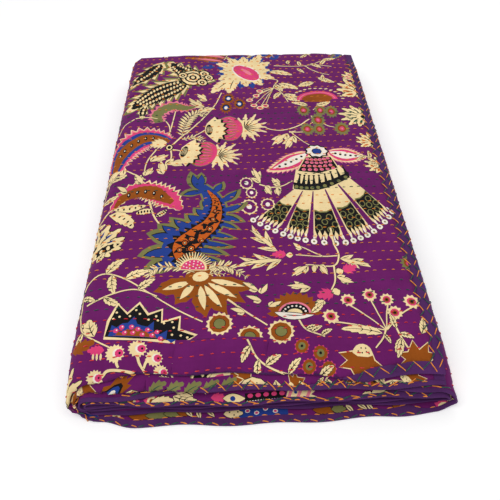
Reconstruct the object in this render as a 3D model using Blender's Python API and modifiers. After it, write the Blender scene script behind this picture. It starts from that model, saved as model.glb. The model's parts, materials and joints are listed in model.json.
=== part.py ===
"""A folded bedspread of quilted cotton.

The cover is doubled front to back, so that both of its hems lie at the front. The
doubled cloth is then wound flat: a top run, a fold down the left side, the bottom run,
a fold at the right, a second run, a small loop at the left and a third run, whose end
lies inside the right fold. A plain binding is sewn along all four edges.

Metres, +Z up, the hems at the front towards -Y, and the floor at Z = 0. While the
cloth is folded, X = 0 is the middle of the top face and Y = 0 is the line where it
starts to slope down at the front. The finished pieces are then moved together, so
that the origin is the middle of the box's underside.
"""

import math
from collections import namedtuple

import bmesh
import bpy

# Folded size
TOP_WIDTH = 0.500
STACK_HEIGHT = 0.0655
RIGHT_FOLD_REACH = 0.017

# Cloth and its lay
CLOTH = 0.003
BINDING_WIDTH = 0.014
SEAM_GAP = 0.0005
DOUBLED_PITCH = 0.008

# The slope at the front, where the hems are pressed together
SLOPE_TOP = 0.022
SLOPE_FOOT = -0.050
SLOPE_DROP = 0.38

# Gentler sinking towards the back fold and the free end at the right
BACK_SINK = 0.05
BACK_SINK_FROM = 0.66
BACK_SINK_TO = 0.76
RIGHT_SINK = 0.05
RIGHT_SINK_FROM = 0.19
RIGHT_SINK_TO = 0.26

# Unevenness: share of the height, wave length across, wave length back, and phases.
# The hems wave too, and their waves shift from layer to layer with the height.
Wave = namedtuple("Wave", "share across back turn_across turn_back")
WAVES = (
    Wave(0.016, 0.31, 0.43, 0.6, 1.1),
    Wave(0.010, 0.17, 0.26, 2.3, 0.4),
    Wave(0.006, 0.11, 0.15, 4.0, 2.9),
)
HEM_WAVE = 0.0016
HEM_WAVE_LENGTH = 0.123
HEM_WAVE_SHIFT = 3.0

# Heights of the middle of the doubled cloth in its four runs, from the bottom up
HALF_DOUBLED = (DOUBLED_PITCH + CLOTH) / 2
BOTTOM_RUN = HALF_DOUBLED
TOP_RUN = STACK_HEIGHT - HALF_DOUBLED
RUN_STEP = (TOP_RUN - BOTTOM_RUN) / 3
THIRD_RUN = BOTTOM_RUN + RUN_STEP
SECOND_RUN = BOTTOM_RUN + 2 * RUN_STEP

# Centres of the bends
LEFT_BEND_X = -TOP_WIDTH / 2 + (TOP_RUN - BOTTOM_RUN) / 2 + HALF_DOUBLED
RIGHT_BEND_X = TOP_WIDTH / 2 + RIGHT_FOLD_REACH - (SECOND_RUN - BOTTOM_RUN) / 2 - HALF_DOUBLED
LOOP_X = LEFT_BEND_X - 0.002
INNER_END_X = RIGHT_BEND_X - 0.006

# The wound path, a row for each place where the hems or the back fold change. A row
# gives its place across, its height, the Y of the outer and inner sheets' hems and of
# the back fold there, and the number of steps to the next row. Where the height
# changes, the cloth bends round to the next row.
Place = namedtuple("Place", "name across height outer_hem inner_hem back_fold steps")
PATH = (
    Place("outer end", TOP_WIDTH / 2, TOP_RUN, -0.029, -0.039, 0.746, 3),
    Place("top right", 0.150, TOP_RUN, -0.033, -0.041, 0.750, 4),
    Place("top middle", 0.020, TOP_RUN, -0.020, -0.038, 0.751, 4),
    Place("top left", -0.150, TOP_RUN, -0.017, -0.036, 0.750, 3),
    Place("left fold top", LEFT_BEND_X, TOP_RUN, -0.025, -0.034, 0.746, 16),
    Place("left fold foot", LEFT_BEND_X, BOTTOM_RUN, -0.060, -0.052, 0.736, 3),
    Place("bottom left", -0.160, BOTTOM_RUN, -0.070, -0.055, 0.740, 4),
    Place("bottom middle", 0.020, BOTTOM_RUN, -0.072, -0.054, 0.743, 4),
    Place("bottom right", 0.180, BOTTOM_RUN, -0.068, -0.053, 0.744, 3),
    Place("right fold foot", RIGHT_BEND_X, BOTTOM_RUN, -0.063, -0.052, 0.743, 12),
    Place("right fold top", RIGHT_BEND_X, SECOND_RUN, -0.048, -0.052, 0.743, 3),
    Place("second right", 0.150, SECOND_RUN, -0.040, -0.052, 0.745, 4),
    Place("second middle", -0.050, SECOND_RUN, -0.036, -0.055, 0.746, 4),
    Place("loop top", LOOP_X, SECOND_RUN, -0.047, -0.049, 0.741, 10),
    Place("loop foot", LOOP_X, THIRD_RUN, -0.050, -0.050, 0.739, 4),
    Place("third middle", -0.050, THIRD_RUN, -0.052, -0.049, 0.742, 4),
    Place("third right", 0.150, THIRD_RUN, -0.051, -0.048, 0.743, 3),
    Place("inner end", INNER_END_X, THIRD_RUN, -0.050, -0.048, 0.742, 0),
)

# Rows of faces on each sheet, as shares of the way from its hem to the back fold.
# They are closer where the cloth slopes down at the front.
SHEET_ROWS = (0.034, 0.052, 0.075, 0.105, 0.150, 0.40, 0.70, 0.91)
SHEET_LENGTH = 0.80
HEM_SHARE = BINDING_WIDTH / SHEET_LENGTH
CLOTH_SHARE = HEM_SHARE + SEAM_GAP / SHEET_LENGTH

# A narrow row on each side of a seam keeps the two edges there parallel
SEAM_ROW = 0.0015
SEAM_SHARE = SEAM_ROW / SHEET_LENGTH
BACK_TURN_STEPS = 4

# Finish
PURPLE = (0.125, 0.017, 0.115, 1.0)
VIOLET = (0.085, 0.022, 0.120, 1.0)
COTTON_ROUGHNESS = 0.85

Station = namedtuple("Station", "across height out_x out_z outer_hem inner_hem back_fold")
Row = namedtuple("Row", "sheet amount")


def smooth_step(low, high, value):
    """Rise softly from 0 at low to 1 at high."""
    share = min(max((value - low) / (high - low), 0.0), 1.0)
    return share * share * (3.0 - 2.0 * share)


def blend(start, end, share):
    """The value that lies at share of the way from start to end."""
    return start + (end - start) * share


def height_share(x, y):
    """How much of its full height the stack keeps at a place seen from above."""
    share = 1.0 - SLOPE_DROP * smooth_step(-SLOPE_TOP, -SLOPE_FOOT, -y)
    share -= BACK_SINK * smooth_step(BACK_SINK_FROM, BACK_SINK_TO, y)
    share -= RIGHT_SINK * smooth_step(RIGHT_SINK_FROM, RIGHT_SINK_TO, x)
    for wave in WAVES:
        across = math.sin(2.0 * math.pi * x / wave.across + wave.turn_across)
        back = math.sin(2.0 * math.pi * y / wave.back + wave.turn_back)
        share += wave.share * across * back
    return share


def settle(x, y, z):
    """Lower a point with the stack under it, and leave the bottom sheet flat."""
    floor_sheet = CLOTH / 2
    return x, y, floor_sheet + (z - floor_sheet) * height_share(x, y)


def bend_angle(here, there, share):
    """The direction out of a bend's centre, counterclockwise seen from the front."""
    start = math.pi / 2 if here.height > there.height else -math.pi / 2
    return start + math.pi * share


def station_between(here, there, share):
    """The path's middle line and edges, at share of the way between two places."""
    hem_share = smooth_step(0.0, 1.0, share) if here.height == there.height else share
    hems = [
        blend(a, b, hem_share)
        for a, b in (
            (here.outer_hem, there.outer_hem),
            (here.inner_hem, there.inner_hem),
            (here.back_fold, there.back_fold),
        )
    ]
    if here.height == there.height:
        across = blend(here.across, there.across, share)
        out_z = 1.0 if there.across < here.across else -1.0
        return Station(across, here.height, 0.0, out_z, *hems)
    angle = bend_angle(here, there, share)
    out_x, out_z = math.cos(angle), math.sin(angle)
    radius = abs(here.height - there.height) / 2
    middle = (here.height + there.height) / 2
    return Station(here.across + radius * out_x, middle + radius * out_z, out_x, out_z, *hems)


def wound_path():
    """All stations along the path, from the outer end to the inner end."""
    stations = []
    for here, there in zip(PATH, PATH[1:]):
        stations += [station_between(here, there, step / here.steps) for step in range(here.steps)]
    stations.append(station_between(PATH[-2], PATH[-1], 1.0))
    return stations


def moved_along(stations, first, distance):
    """A copy of an end station, moved into the cloth by a distance."""
    here, there = (stations[0], stations[1]) if first else (stations[-1], stations[-2])
    share = distance / abs(there.across - here.across)
    return Station(*(blend(a, b, share) for a, b in zip(here, there)))


def place_point(station, row):
    """The folded place of a point of the cloth."""
    half = DOUBLED_PITCH / 2
    if row.sheet == "outer":
        offset = half
        y = blend(station.outer_hem, station.back_fold, row.amount)
    elif row.sheet == "turn":
        offset = half * math.cos(math.pi * row.amount)
        y = station.back_fold + half * math.sin(math.pi * row.amount)
    else:
        offset = -half
        y = blend(station.inner_hem, station.back_fold, row.amount)
    x = station.across + station.out_x * offset
    z = station.height + station.out_z * offset
    wave = math.sin(2.0 * math.pi * (station.across + HEM_WAVE_SHIFT * z) / HEM_WAVE_LENGTH)
    y += HEM_WAVE * wave * (1.0 - row.amount) if row.sheet != "turn" else 0.0
    return settle(x, y, z)


def folded_sheet(name, stations, rows, material, collection):
    """Fold a flat grid along the stations and rows, and give it the cloth's thickness."""
    across_steps, row_steps = len(stations) - 1, len(rows) - 1
    grid = bmesh.new()
    bmesh.ops.create_grid(grid, x_segments=across_steps, y_segments=row_steps, size=1.0)
    for vert in grid.verts:
        station = stations[round((vert.co.x + 1.0) / 2.0 * across_steps)]
        row = rows[round((vert.co.y + 1.0) / 2.0 * row_steps)]
        vert.co = place_point(station, row)
    mesh = bpy.data.meshes.new(name)
    grid.to_mesh(mesh)
    grid.free()
    mesh.shade_smooth()
    mesh.materials.append(material)
    piece = bpy.data.objects.new(name, mesh)
    collection.objects.link(piece)
    solid = piece.modifiers.new("thickness", "SOLIDIFY")
    solid.thickness = CLOTH
    solid.offset = 0.0
    solid.use_even_offset = True
    solid.use_quality_normals = True
    return piece


def cloth_rows():
    """Rows of the cover between its two hem bindings, round the back fold."""
    shares = (CLOTH_SHARE, CLOTH_SHARE + SEAM_SHARE) + SHEET_ROWS
    rows = [Row("outer", share) for share in shares]
    rows += [Row("turn", step / BACK_TURN_STEPS) for step in range(BACK_TURN_STEPS + 1)]
    rows += [Row("inner", share) for share in reversed(shares)]
    return rows


def hem_rows(sheet):
    """Rows of a hem binding, in the same order as the cover's own rows."""
    rows = [Row(sheet, share) for share in (0.0, HEM_SHARE / 2, HEM_SHARE - SEAM_SHARE, HEM_SHARE)]
    return rows if sheet == "outer" else rows[::-1]


def make_cover(stations, material, collection):
    """The printed and quilted cloth, one sheet folded from end to end."""
    ends = BINDING_WIDTH + SEAM_GAP
    outer_end = [moved_along(stations, True, distance) for distance in (ends, ends + SEAM_ROW)]
    inner_end = [moved_along(stations, False, distance) for distance in (ends + SEAM_ROW, ends)]
    lengthwise = outer_end + stations[1:-1] + inner_end
    return folded_sheet("cover_cloth", lengthwise, cloth_rows(), material, collection)


def make_hem_bindings(stations, material, collection):
    """The two long bindings, one along each hem at the front."""
    for sheet in ("outer", "inner"):
        name = f"binding_{sheet}_hem"
        folded_sheet(name, stations, hem_rows(sheet), material, collection)


def make_end_bindings(stations, material, collection):
    """The two bindings across the ends of the wound cloth, round its back fold."""
    for name, first in (("binding_outer_end", True), ("binding_inner_end", False)):
        distances = (0.0, BINDING_WIDTH / 2, BINDING_WIDTH - SEAM_ROW, BINDING_WIDTH)
        strip = [moved_along(stations, first, distance) for distance in distances]
        strip = strip if first else strip[::-1]
        folded_sheet(name, strip, cloth_rows(), material, collection)


def cotton(name, colour):
    """Matt cotton of one colour."""
    material = bpy.data.materials.new(name)
    material.use_nodes = True
    material.diffuse_color = colour
    shader = material.node_tree.nodes["Principled BSDF"]
    shader.inputs["Base Color"].default_value = colour
    shader.inputs["Roughness"].default_value = COTTON_ROUGHNESS
    shader.inputs["Metallic"].default_value = 0.0
    return material


def centre_on_floor(collection):
    """Move all pieces together, so that the origin is under the middle of their box."""
    corners = []
    graph = bpy.context.evaluated_depsgraph_get()
    for piece in collection.objects:
        corners += [tuple(vert.co) for vert in piece.evaluated_get(graph).data.vertices]
    across, back = ([corner[axis] for corner in corners] for axis in (0, 1))
    shift_x = -(min(across) + max(across)) / 2
    shift_y = -(min(back) + max(back)) / 2
    for piece in collection.objects:
        for vert in piece.data.vertices:
            vert.co.x += shift_x
            vert.co.y += shift_y


def clear_scene():
    """Start from an empty scene."""
    for old in list(bpy.data.objects):
        bpy.data.objects.remove(old, do_unlink=True)


def main():
    """Fold the cover and its bindings."""
    clear_scene()
    collection = bpy.data.collections.new("folded_bedspread")
    bpy.context.scene.collection.children.link(collection)
    printed = cotton("printed_cotton", PURPLE)
    plain = cotton("plain_binding_cotton", VIOLET)
    stations = wound_path()
    make_cover(stations, printed, collection)
    make_hem_bindings(stations, plain, collection)
    make_end_bindings(stations, plain, collection)
    bpy.context.view_layer.update()
    centre_on_floor(collection)


main()
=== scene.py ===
"""Looks of the folded kantha bedspread: print, quilting, bindings, stitches and stage."""
import json
import math
import random
from collections import namedtuple

import bpy
import numpy as np
from bpy.props import FloatProperty, FloatVectorProperty, PointerProperty
from mathutils.geometry import delaunay_2d_cdt
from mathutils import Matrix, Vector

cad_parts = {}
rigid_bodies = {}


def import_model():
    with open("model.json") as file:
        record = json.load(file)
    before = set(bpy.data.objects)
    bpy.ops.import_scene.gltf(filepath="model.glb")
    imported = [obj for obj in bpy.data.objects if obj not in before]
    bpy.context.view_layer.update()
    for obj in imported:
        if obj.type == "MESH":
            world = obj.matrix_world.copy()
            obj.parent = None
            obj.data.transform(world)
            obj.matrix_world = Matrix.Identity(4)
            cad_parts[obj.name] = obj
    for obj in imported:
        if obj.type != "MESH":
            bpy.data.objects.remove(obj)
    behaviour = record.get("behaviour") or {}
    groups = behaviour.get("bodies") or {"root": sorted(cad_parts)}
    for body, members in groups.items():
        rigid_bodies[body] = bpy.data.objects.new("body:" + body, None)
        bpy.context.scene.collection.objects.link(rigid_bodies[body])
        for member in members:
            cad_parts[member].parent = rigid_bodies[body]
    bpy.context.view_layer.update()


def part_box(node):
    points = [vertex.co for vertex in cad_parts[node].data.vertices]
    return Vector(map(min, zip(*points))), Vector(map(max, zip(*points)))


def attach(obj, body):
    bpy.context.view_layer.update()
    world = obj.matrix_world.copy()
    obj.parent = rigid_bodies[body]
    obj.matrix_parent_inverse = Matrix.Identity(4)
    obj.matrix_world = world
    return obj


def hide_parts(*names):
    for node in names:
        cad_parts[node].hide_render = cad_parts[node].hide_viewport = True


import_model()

bl_info = {
    "name": "Folded Kantha Bedspread",
    "version": (1, 0, 0),
    "blender": (4, 5, 0),
    "location": "3D View > Sidebar > Bedspread",
    "description": "Folds a printed and quilted cotton bedspread, and sews its bindings",
    "category": "Add Mesh",
}

# The folded stack: the width of its top face, its height, and how far the inner
# layers' fold sticks out under the top face on the right
TOP_WIDTH = 0.500
STACK_HEIGHT = 0.0655
RIGHT_FOLD_REACH = 0.017

# The cloth as the frame has it, and the pitch of its two sheets once it is doubled
FRAME_CLOTH = 0.003
DOUBLED_PITCH = 0.008
HALF_PITCH = DOUBLED_PITCH / 2
HALF_DOUBLED = (DOUBLED_PITCH + FRAME_CLOTH) / 2
BINDING_WIDTH = 0.014

# The stack is lower at the front, where its hems come forward, and sinks a little
# at the back and along the right side
SLOPE_TOP = 0.022
SLOPE_FOOT = -0.050
SLOPE_DROP = 0.38
BACK_SINK = 0.05
BACK_SINK_FROM = 0.66
BACK_SINK_TO = 0.76
RIGHT_SINK = 0.05
RIGHT_SINK_FROM = 0.19
RIGHT_SINK_TO = 0.26

Wave = namedtuple("Wave", "share across back turn_across turn_back")
WAVES = (
    Wave(0.016, 0.31, 0.43, 0.6, 1.1),
    Wave(0.010, 0.17, 0.26, 2.3, 0.4),
    Wave(0.006, 0.11, 0.15, 4.0, 2.9),
)
HEM_WAVE = 0.0016
HEM_WAVE_LENGTH = 0.123
HEM_WAVE_SHIFT = 3.0

# Heights of the runs' middle lines, and the middles of the bends that join them
BOTTOM_RUN = HALF_DOUBLED
TOP_RUN = STACK_HEIGHT - HALF_DOUBLED
RUN_STEP = (TOP_RUN - BOTTOM_RUN) / 3
THIRD_RUN = BOTTOM_RUN + RUN_STEP
SECOND_RUN = BOTTOM_RUN + 2 * RUN_STEP
LEFT_BEND_X = -TOP_WIDTH / 2 + (TOP_RUN - BOTTOM_RUN) / 2 + HALF_DOUBLED
RIGHT_BEND_X = TOP_WIDTH / 2 + RIGHT_FOLD_REACH - (SECOND_RUN - BOTTOM_RUN) / 2 - HALF_DOUBLED
LOOP_X = LEFT_BEND_X - 0.002
INNER_END_X = RIGHT_BEND_X - 0.006

# Where the doubled cloth goes, seen from the front, from its outer end on the top
# right, round the stack, to its inner end. The outer hem, the inner hem and the
# back fold are the places, from front to back, of the edges there.
Place = namedtuple("Place", "name across height outer_hem inner_hem back_fold")
PATH = (
    Place("outer end", TOP_WIDTH / 2, TOP_RUN, -0.029, -0.039, 0.746),
    Place("top right", 0.150, TOP_RUN, -0.033, -0.041, 0.750),
    Place("top middle", 0.020, TOP_RUN, -0.020, -0.038, 0.751),
    Place("top left", -0.150, TOP_RUN, -0.017, -0.036, 0.750),
    Place("left fold top", LEFT_BEND_X, TOP_RUN, -0.025, -0.034, 0.746),
    Place("left fold foot", LEFT_BEND_X, BOTTOM_RUN, -0.060, -0.052, 0.736),
    Place("bottom left", -0.160, BOTTOM_RUN, -0.070, -0.055, 0.740),
    Place("bottom middle", 0.020, BOTTOM_RUN, -0.072, -0.054, 0.743),
    Place("bottom right", 0.180, BOTTOM_RUN, -0.068, -0.053, 0.744),
    Place("right fold foot", RIGHT_BEND_X, BOTTOM_RUN, -0.063, -0.052, 0.743),
    Place("right fold top", RIGHT_BEND_X, SECOND_RUN, -0.048, -0.052, 0.743),
    Place("second right", 0.150, SECOND_RUN, -0.040, -0.052, 0.745),
    Place("second middle", -0.050, SECOND_RUN, -0.036, -0.055, 0.746),
    Place("loop top", LOOP_X, SECOND_RUN, -0.047, -0.049, 0.741),
    Place("loop foot", LOOP_X, THIRD_RUN, -0.050, -0.050, 0.739),
    Place("third middle", -0.050, THIRD_RUN, -0.052, -0.049, 0.742),
    Place("third right", 0.150, THIRD_RUN, -0.051, -0.048, 0.743),
    Place("inner end", INNER_END_X, THIRD_RUN, -0.050, -0.048, 0.742),
)
RUN_STEPS = 16
BEND_STEPS = 48

# The world's place of the stack: the frame is centred on its box
SHIFT_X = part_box("cover_cloth")[1][0] - (TOP_WIDTH / 2 + RIGHT_FOLD_REACH)
BACK_REACH = max(place.back_fold for place in PATH) + HALF_PITCH + FRAME_CLOTH / 2
SHIFT_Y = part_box("cover_cloth")[1][1] - BACK_REACH

# The top sheet's hem is rolled under from the left fold to OUTER_TUCK_END, and the
# hem of the sheet under it all along the top run
ROLL_RADIUS = 0.0015
OUTER_TUCK_FULL = 0.10
OUTER_TUCK_END = 0.16
OUTER_TUCK = 0.0175
INNER_TUCK = 0.011
TUCK_LAST = -0.250
TUCK_GONE = -0.330

# Quilting: rows of running stitches from side to side, and the cloth's puff
ROW_PITCH = 0.018
ROW_SWAY = 0.0011
PUFF = 0.0005
PUFF_WIDTH = 0.0045
CREASE = 0.0005
SLUB = 0.00025
FLOOR_CLEARANCE = 0.0002


def smooth_step(low, high, value):
    """Rise softly from 0 at low to 1 at high."""
    share = np.clip((value - low) / (high - low), 0.0, 1.0)
    return share * share * (3.0 - 2.0 * share)


def blend(start, end, share):
    """The value that lies at share of the way from start to end."""
    return start + (end - start) * share


# The fold

def stations_between(here, there):
    """The path's middle line and its edges, in steps from one place to the next."""
    level = here.height == there.height
    steps = RUN_STEPS if level else BEND_STEPS
    share = np.arange(steps + 1) / steps
    hem_share = smooth_step(0.0, 1.0, share) if level else share
    hems = [blend(a, b, hem_share) for a, b in zip(here[3:], there[3:])]
    if level:
        across = blend(here.across, there.across, share)
        out_z = np.full(steps + 1, 1.0 if there.across < here.across else -1.0)
        return np.stack([across, np.full(steps + 1, here.height), 0 * out_z, out_z, *hems], 1)
    start = math.pi / 2 if here.height > there.height else -math.pi / 2
    angle = start + math.pi * share
    radius = abs(here.height - there.height) / 2
    middle = (here.height + there.height) / 2
    out_x, out_z = np.cos(angle), np.sin(angle)
    across = here.across + radius * out_x
    return np.stack([across, middle + radius * out_z, out_x, out_z, *hems], 1)


PARTS = [stations_between(here, there) for here, there in zip(PATH, PATH[1:])]
STATIONS = np.concatenate([part[:-1] for part in PARTS] + [PARTS[-1][-1:]])
TRAVEL = np.concatenate([[0.0], np.cumsum(np.hypot(*np.diff(STATIONS[:, :2], axis=0).T))])
CLOTH_LENGTH = TRAVEL[-1]
TURN_LENGTH = math.pi * HALF_PITCH


def flat_across(name):
    """The flat place across of a named place of the path: the top run's own X."""
    first = [place.name for place in PATH].index(name)
    before = sum(len(part) - 1 for part in PARTS[:first])
    return TOP_WIDTH / 2 - TRAVEL[before]


FLAT_END = TOP_WIDTH / 2 - CLOTH_LENGTH


def station_at(p):
    """Across, height, out_x, out_z, outer hem, inner hem and back fold at flat places p."""
    travel = TOP_WIDTH / 2 - np.asarray(p, float)
    return [np.interp(travel, TRAVEL, column) for column in STATIONS.T]


def tuck_share(p):
    """How much of the top run's hems is tucked under, from 0 to 1."""
    return smooth_step(TUCK_GONE, TUCK_LAST, p)


def outer_edge(p):
    """The flat place of the outer hem's edge, its tucked part spread out."""
    rolled = tuck_share(p) * (1.0 - smooth_step(OUTER_TUCK_FULL, OUTER_TUCK_END, p))
    return station_at(p)[4] - OUTER_TUCK * rolled


def inner_edge(p):
    """The flat place of the inner hem's edge, past the back fold."""
    inner_hem, back = station_at(p)[5:7]
    return 2 * back + TURN_LENGTH - inner_hem + INNER_TUCK * tuck_share(p)


def height_share(x, y):
    """How much of its full height the stack keeps at a place seen from above."""
    share = 1.0 - SLOPE_DROP * smooth_step(-SLOPE_TOP, -SLOPE_FOOT, -y)
    share -= BACK_SINK * smooth_step(BACK_SINK_FROM, BACK_SINK_TO, y)
    share -= RIGHT_SINK * smooth_step(RIGHT_SINK_FROM, RIGHT_SINK_TO, x)
    for wave in WAVES:
        across = np.sin(2.0 * np.pi * x / wave.across + wave.turn_across)
        back = np.sin(2.0 * np.pi * y / wave.back + wave.turn_back)
        share += wave.share * across * back
    return share


def roll_under(past):
    """How far a hem comes back, and how deep it lies, where it is rolled past its fold."""
    past = np.maximum(past, 0.0)
    angle = np.minimum(past / ROLL_RADIUS, np.pi)
    straight = np.maximum(past - np.pi * ROLL_RADIUS, 0.0)
    back = straight - ROLL_RADIUS * np.sin(angle)
    return back, ROLL_RADIUS * (1.0 - np.cos(angle))


def middle_surface(p, q):
    """The folded place of the cloth's middle, for flat places p across and q to the back."""
    across, height, out_x, out_z, outer_hem, inner_hem, back = station_at(p)
    inner_start = back + TURN_LENGTH
    outer_back, outer_depth = roll_under(outer_hem - q)
    inner_fold = inner_start + back - inner_hem
    inner_back, inner_depth = roll_under(q - inner_fold)
    angle = np.clip((q - back) / HALF_PITCH, 0.0, np.pi)
    on_inner = q > inner_start
    on_outer = q < back
    y_outer = np.maximum(q, outer_hem) + outer_back
    y_inner = np.maximum(inner_start + back - q, inner_hem) + inner_back
    y = np.where(on_outer, y_outer, np.where(on_inner, y_inner, back + HALF_PITCH * np.sin(angle)))
    offset = HALF_PITCH * np.cos(angle) - outer_depth - inner_depth
    x = across + out_x * offset
    z = height + out_z * offset
    hem = np.where(on_inner, inner_hem, outer_hem)
    fade = np.clip(1.0 - (y - hem) / (back - hem), 0.0, 1.0) * (on_outer | on_inner)
    phase = 2.0 * np.pi * (across + HEM_WAVE_SHIFT * z) / HEM_WAVE_LENGTH
    y = y + HEM_WAVE * np.sin(phase) * fade
    floor_sheet = FRAME_CLOTH / 2
    z = floor_sheet + (z - floor_sheet) * height_share(x, y)
    return np.stack([x + SHIFT_X, y + SHIFT_Y, z], -1)


def row_phase(p, q):
    """The stitch rows' count at a flat place; it is whole on a row."""
    sway = np.sin(2 * np.pi * p / 0.37 + 5.0 * q) + 0.6 * np.sin(2 * np.pi * p / 0.143 + 21.0 * q)
    return (q + ROW_SWAY * sway) / ROW_PITCH


def crease(p, q):
    """Soft uneven creases, the same on both faces of the cloth."""
    wide = np.sin(2 * np.pi * (p / 0.071 + 0.8 * np.sin(q / 0.033))) * np.sin(q / 0.0091 + p / 0.05)
    fine = np.sin(p / 0.0047 + 2.1 * np.sin(q / 0.0083)) * np.sin(q / 0.0039 + 1.7 * np.sin(p / 0.013))
    return CREASE * wide + SLUB * fine


def puff(p, q):
    """How far each face stands out between the rows of stitches."""
    off = np.abs(row_phase(p, q) - np.round(row_phase(p, q))) * ROW_PITCH
    return PUFF * (1.0 - np.exp(-((off / PUFF_WIDTH) ** 2)))


def lay(p, q, lift, quilted=True):
    """The folded places of flat places, lifted off the cloth's middle, and their normals.

    A positive lift is towards the printed outer face."""
    p, q, lift = np.broadcast_arrays(np.asarray(p, float), np.asarray(q, float), lift)
    step = 0.0004
    middle = middle_surface(p, q)
    along = middle_surface(p + step, q) - middle_surface(p - step, q)
    back = middle_surface(p, q + step) - middle_surface(p, q - step)
    normal = np.cross(along, back)
    normal /= np.linalg.norm(normal, axis=-1, keepdims=True)
    if quilted:
        lift = lift + np.sign(lift) * puff(p, q) + crease(p, q)
    placed = middle + normal * lift[..., None]
    placed[..., 2] = np.maximum(placed[..., 2], FLOOR_CLEARANCE)
    return placed, normal


# Colours, as sRGB shares

def linear(red, green, blue):
    """A linear colour from sRGB shares of 255."""
    shares = [channel / 255 for channel in (red, green, blue)]
    return tuple(((s + 0.055) / 1.055) ** 2.4 if s > 0.04045 else s / 12.92 for s in shares)


GROUND = linear(108, 24, 100)
VIOLET = linear(84, 40, 98)
CREAM = linear(250, 224, 168)
WHITE = linear(250, 240, 225)
PINK = linear(226, 66, 122)
ROSE = linear(238, 128, 150)
RUST = linear(152, 78, 16)
ORANGE = linear(206, 96, 28)
OLIVE = linear(128, 126, 74)
BLUE = linear(36, 64, 146)
BLACK = linear(18, 16, 20)
ORANGE_THREAD = linear(252, 150, 48)
GREEN_THREAD = linear(30, 84, 70)
RED_THREAD = linear(226, 36, 46)
LILAC_THREAD = linear(150, 110, 165)


# Shader nodes

class Value:
    """A value of a material's nodes, which takes part in sums."""

    def __init__(self, tree, socket):
        self.tree = tree
        self.socket = socket

    def maths(self, operation, first, second):
        return self.tree.node("ShaderNodeMath", {"operation": operation}, {0: first, 1: second})

    def __add__(self, other):
        return self.maths("ADD", self, other)

    __radd__ = __add__

    def __sub__(self, other):
        return self.maths("SUBTRACT", self, other)

    def __rsub__(self, other):
        return self.maths("SUBTRACT", other, self)

    def __mul__(self, other):
        return self.maths("MULTIPLY", self, other)

    __rmul__ = __mul__


class Tree:
    """The node tree of a new material with one Principled shader."""

    def __init__(self, name, colour, roughness, sheen):
        self.material = bpy.data.materials.new(name)
        self.material.use_nodes = True
        self.material.diffuse_color = (*colour, 1.0)
        self.nodes = self.material.node_tree.nodes
        self.links = self.material.node_tree.links
        self.shader = self.nodes["Principled BSDF"]
        self.shader.inputs["Base Color"].default_value = (*colour, 1.0)
        self.shader.inputs["Roughness"].default_value = roughness
        self.shader.inputs["Specular IOR Level"].default_value = COTTON_SPECULAR
        self.shader.inputs["Sheen Weight"].default_value = sheen
        self.shader.inputs["Sheen Roughness"].default_value = 0.5

    def node(self, kind, settings=None, sockets=None, output=0):
        """Add a node, make its settings, then fill or link its sockets."""
        node = self.nodes.new(kind)
        for name, setting in (settings or {}).items():
            setattr(node, name, setting)
        for key, value in (sockets or {}).items():
            if isinstance(value, Value):
                self.links.new(value.socket, node.inputs[key])
            else:
                node.inputs[key].default_value = value
        return Value(self, node.outputs[output])

    def mix(self, factor, first, second, blend_type="MIX"):
        """Mix two colours."""
        settings = {"data_type": "RGBA", "blend_type": blend_type}
        return self.node("ShaderNodeMix", settings, {0: factor, 6: first, 7: second}, 2)

    def feed(self, socket, value):
        """Link a value to one of the shader's sockets."""
        self.links.new(value.socket, self.shader.inputs[socket])


COTTON_ROUGHNESS = 0.82
COTTON_SPECULAR = 0.15
COTTON_SHEEN = 0.04
THREAD_ROUGHNESS = 0.55
THREAD_SHEEN = 0.25

# Frequencies of the cloth's patterns, in cycles a metre of flat cloth
WEAVE_THREADS = 950.0
SLUB_SCALE = 240.0
DYE_SCALE = 26.0
FADE_SCALE = 6.0


def cloth_height(tree, flat):
    """The weave's threads, thick and thin, as a height."""
    threads = []
    for direction, stretch in (("X", (1.0, 0.12, 1.0)), ("Y", (0.12, 1.0, 1.0))):
        waves = tree.node(
            "ShaderNodeTexWave",
            {"wave_type": "BANDS", "bands_direction": direction},
            {"Vector": flat, "Scale": WEAVE_THREADS / 20, "Distortion": 0.8, "Detail": 1.0},
        )
        drawn = tree.node("ShaderNodeVectorMath", {"operation": "MULTIPLY"}, {0: flat, 1: stretch})
        slub = tree.node("ShaderNodeTexNoise", {}, {"Vector": drawn, "Scale": SLUB_SCALE, "Detail": 2.0})
        threads.append(waves * 0.35 + slub)
    return threads[0] + threads[1]


def cotton(name, colour, printed, mottle_and_weave_shade):
    """Dyed cotton: a print or one colour, with its dye, its fading and its weave; the weave's height also
    darkens the colour where its threads lie low, as painted shade.
    """
    tree = Tree(name, colour, COTTON_ROUGHNESS, COTTON_SHEEN)
    flat = tree.node("ShaderNodeUVMap", {"uv_map": "flat"})
    ink = (*colour, 1.0)
    if printed:
        ink = tree.node("ShaderNodeVertexColor", {"layer_name": "print"})
    dye = tree.node("ShaderNodeTexNoise", {}, {"Vector": flat, "Scale": DYE_SCALE, "Detail": 5.0})
    fade = tree.node("ShaderNodeTexNoise", {}, {"Vector": flat, "Scale": FADE_SCALE, "Detail": 3.0})
    height = cloth_height(tree, flat)
    # The colour's tone: dye and fade noise, the cloth's own mottling, plus the weave's height, which is
    # painted shade in the weave's low places.
    shade = tree.node(
        "ShaderNodeMapRange", {},
        {"Value": dye + 0.5 * fade + 0.12 * height, "From Min": 0.62, "From Max": 1.25,
         "To Min": 1.0 - mottle_and_weave_shade, "To Max": 1.0 + mottle_and_weave_shade})
    grey = tree.node("ShaderNodeCombineColor", {}, {0: shade, 1: shade, 2: shade})
    mottled_and_weave_shaded = tree.mix(1.0, ink, grey, "MULTIPLY")
    tree.feed("Base Color", mottled_and_weave_shaded)
    tree.feed("Roughness", 0.9 - 0.12 * dye)
    bump = tree.node("ShaderNodeBump", {}, {"Strength": 0.35, "Distance": 0.0005, "Height": height})
    tree.feed("Normal", bump)
    return tree.material


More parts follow.
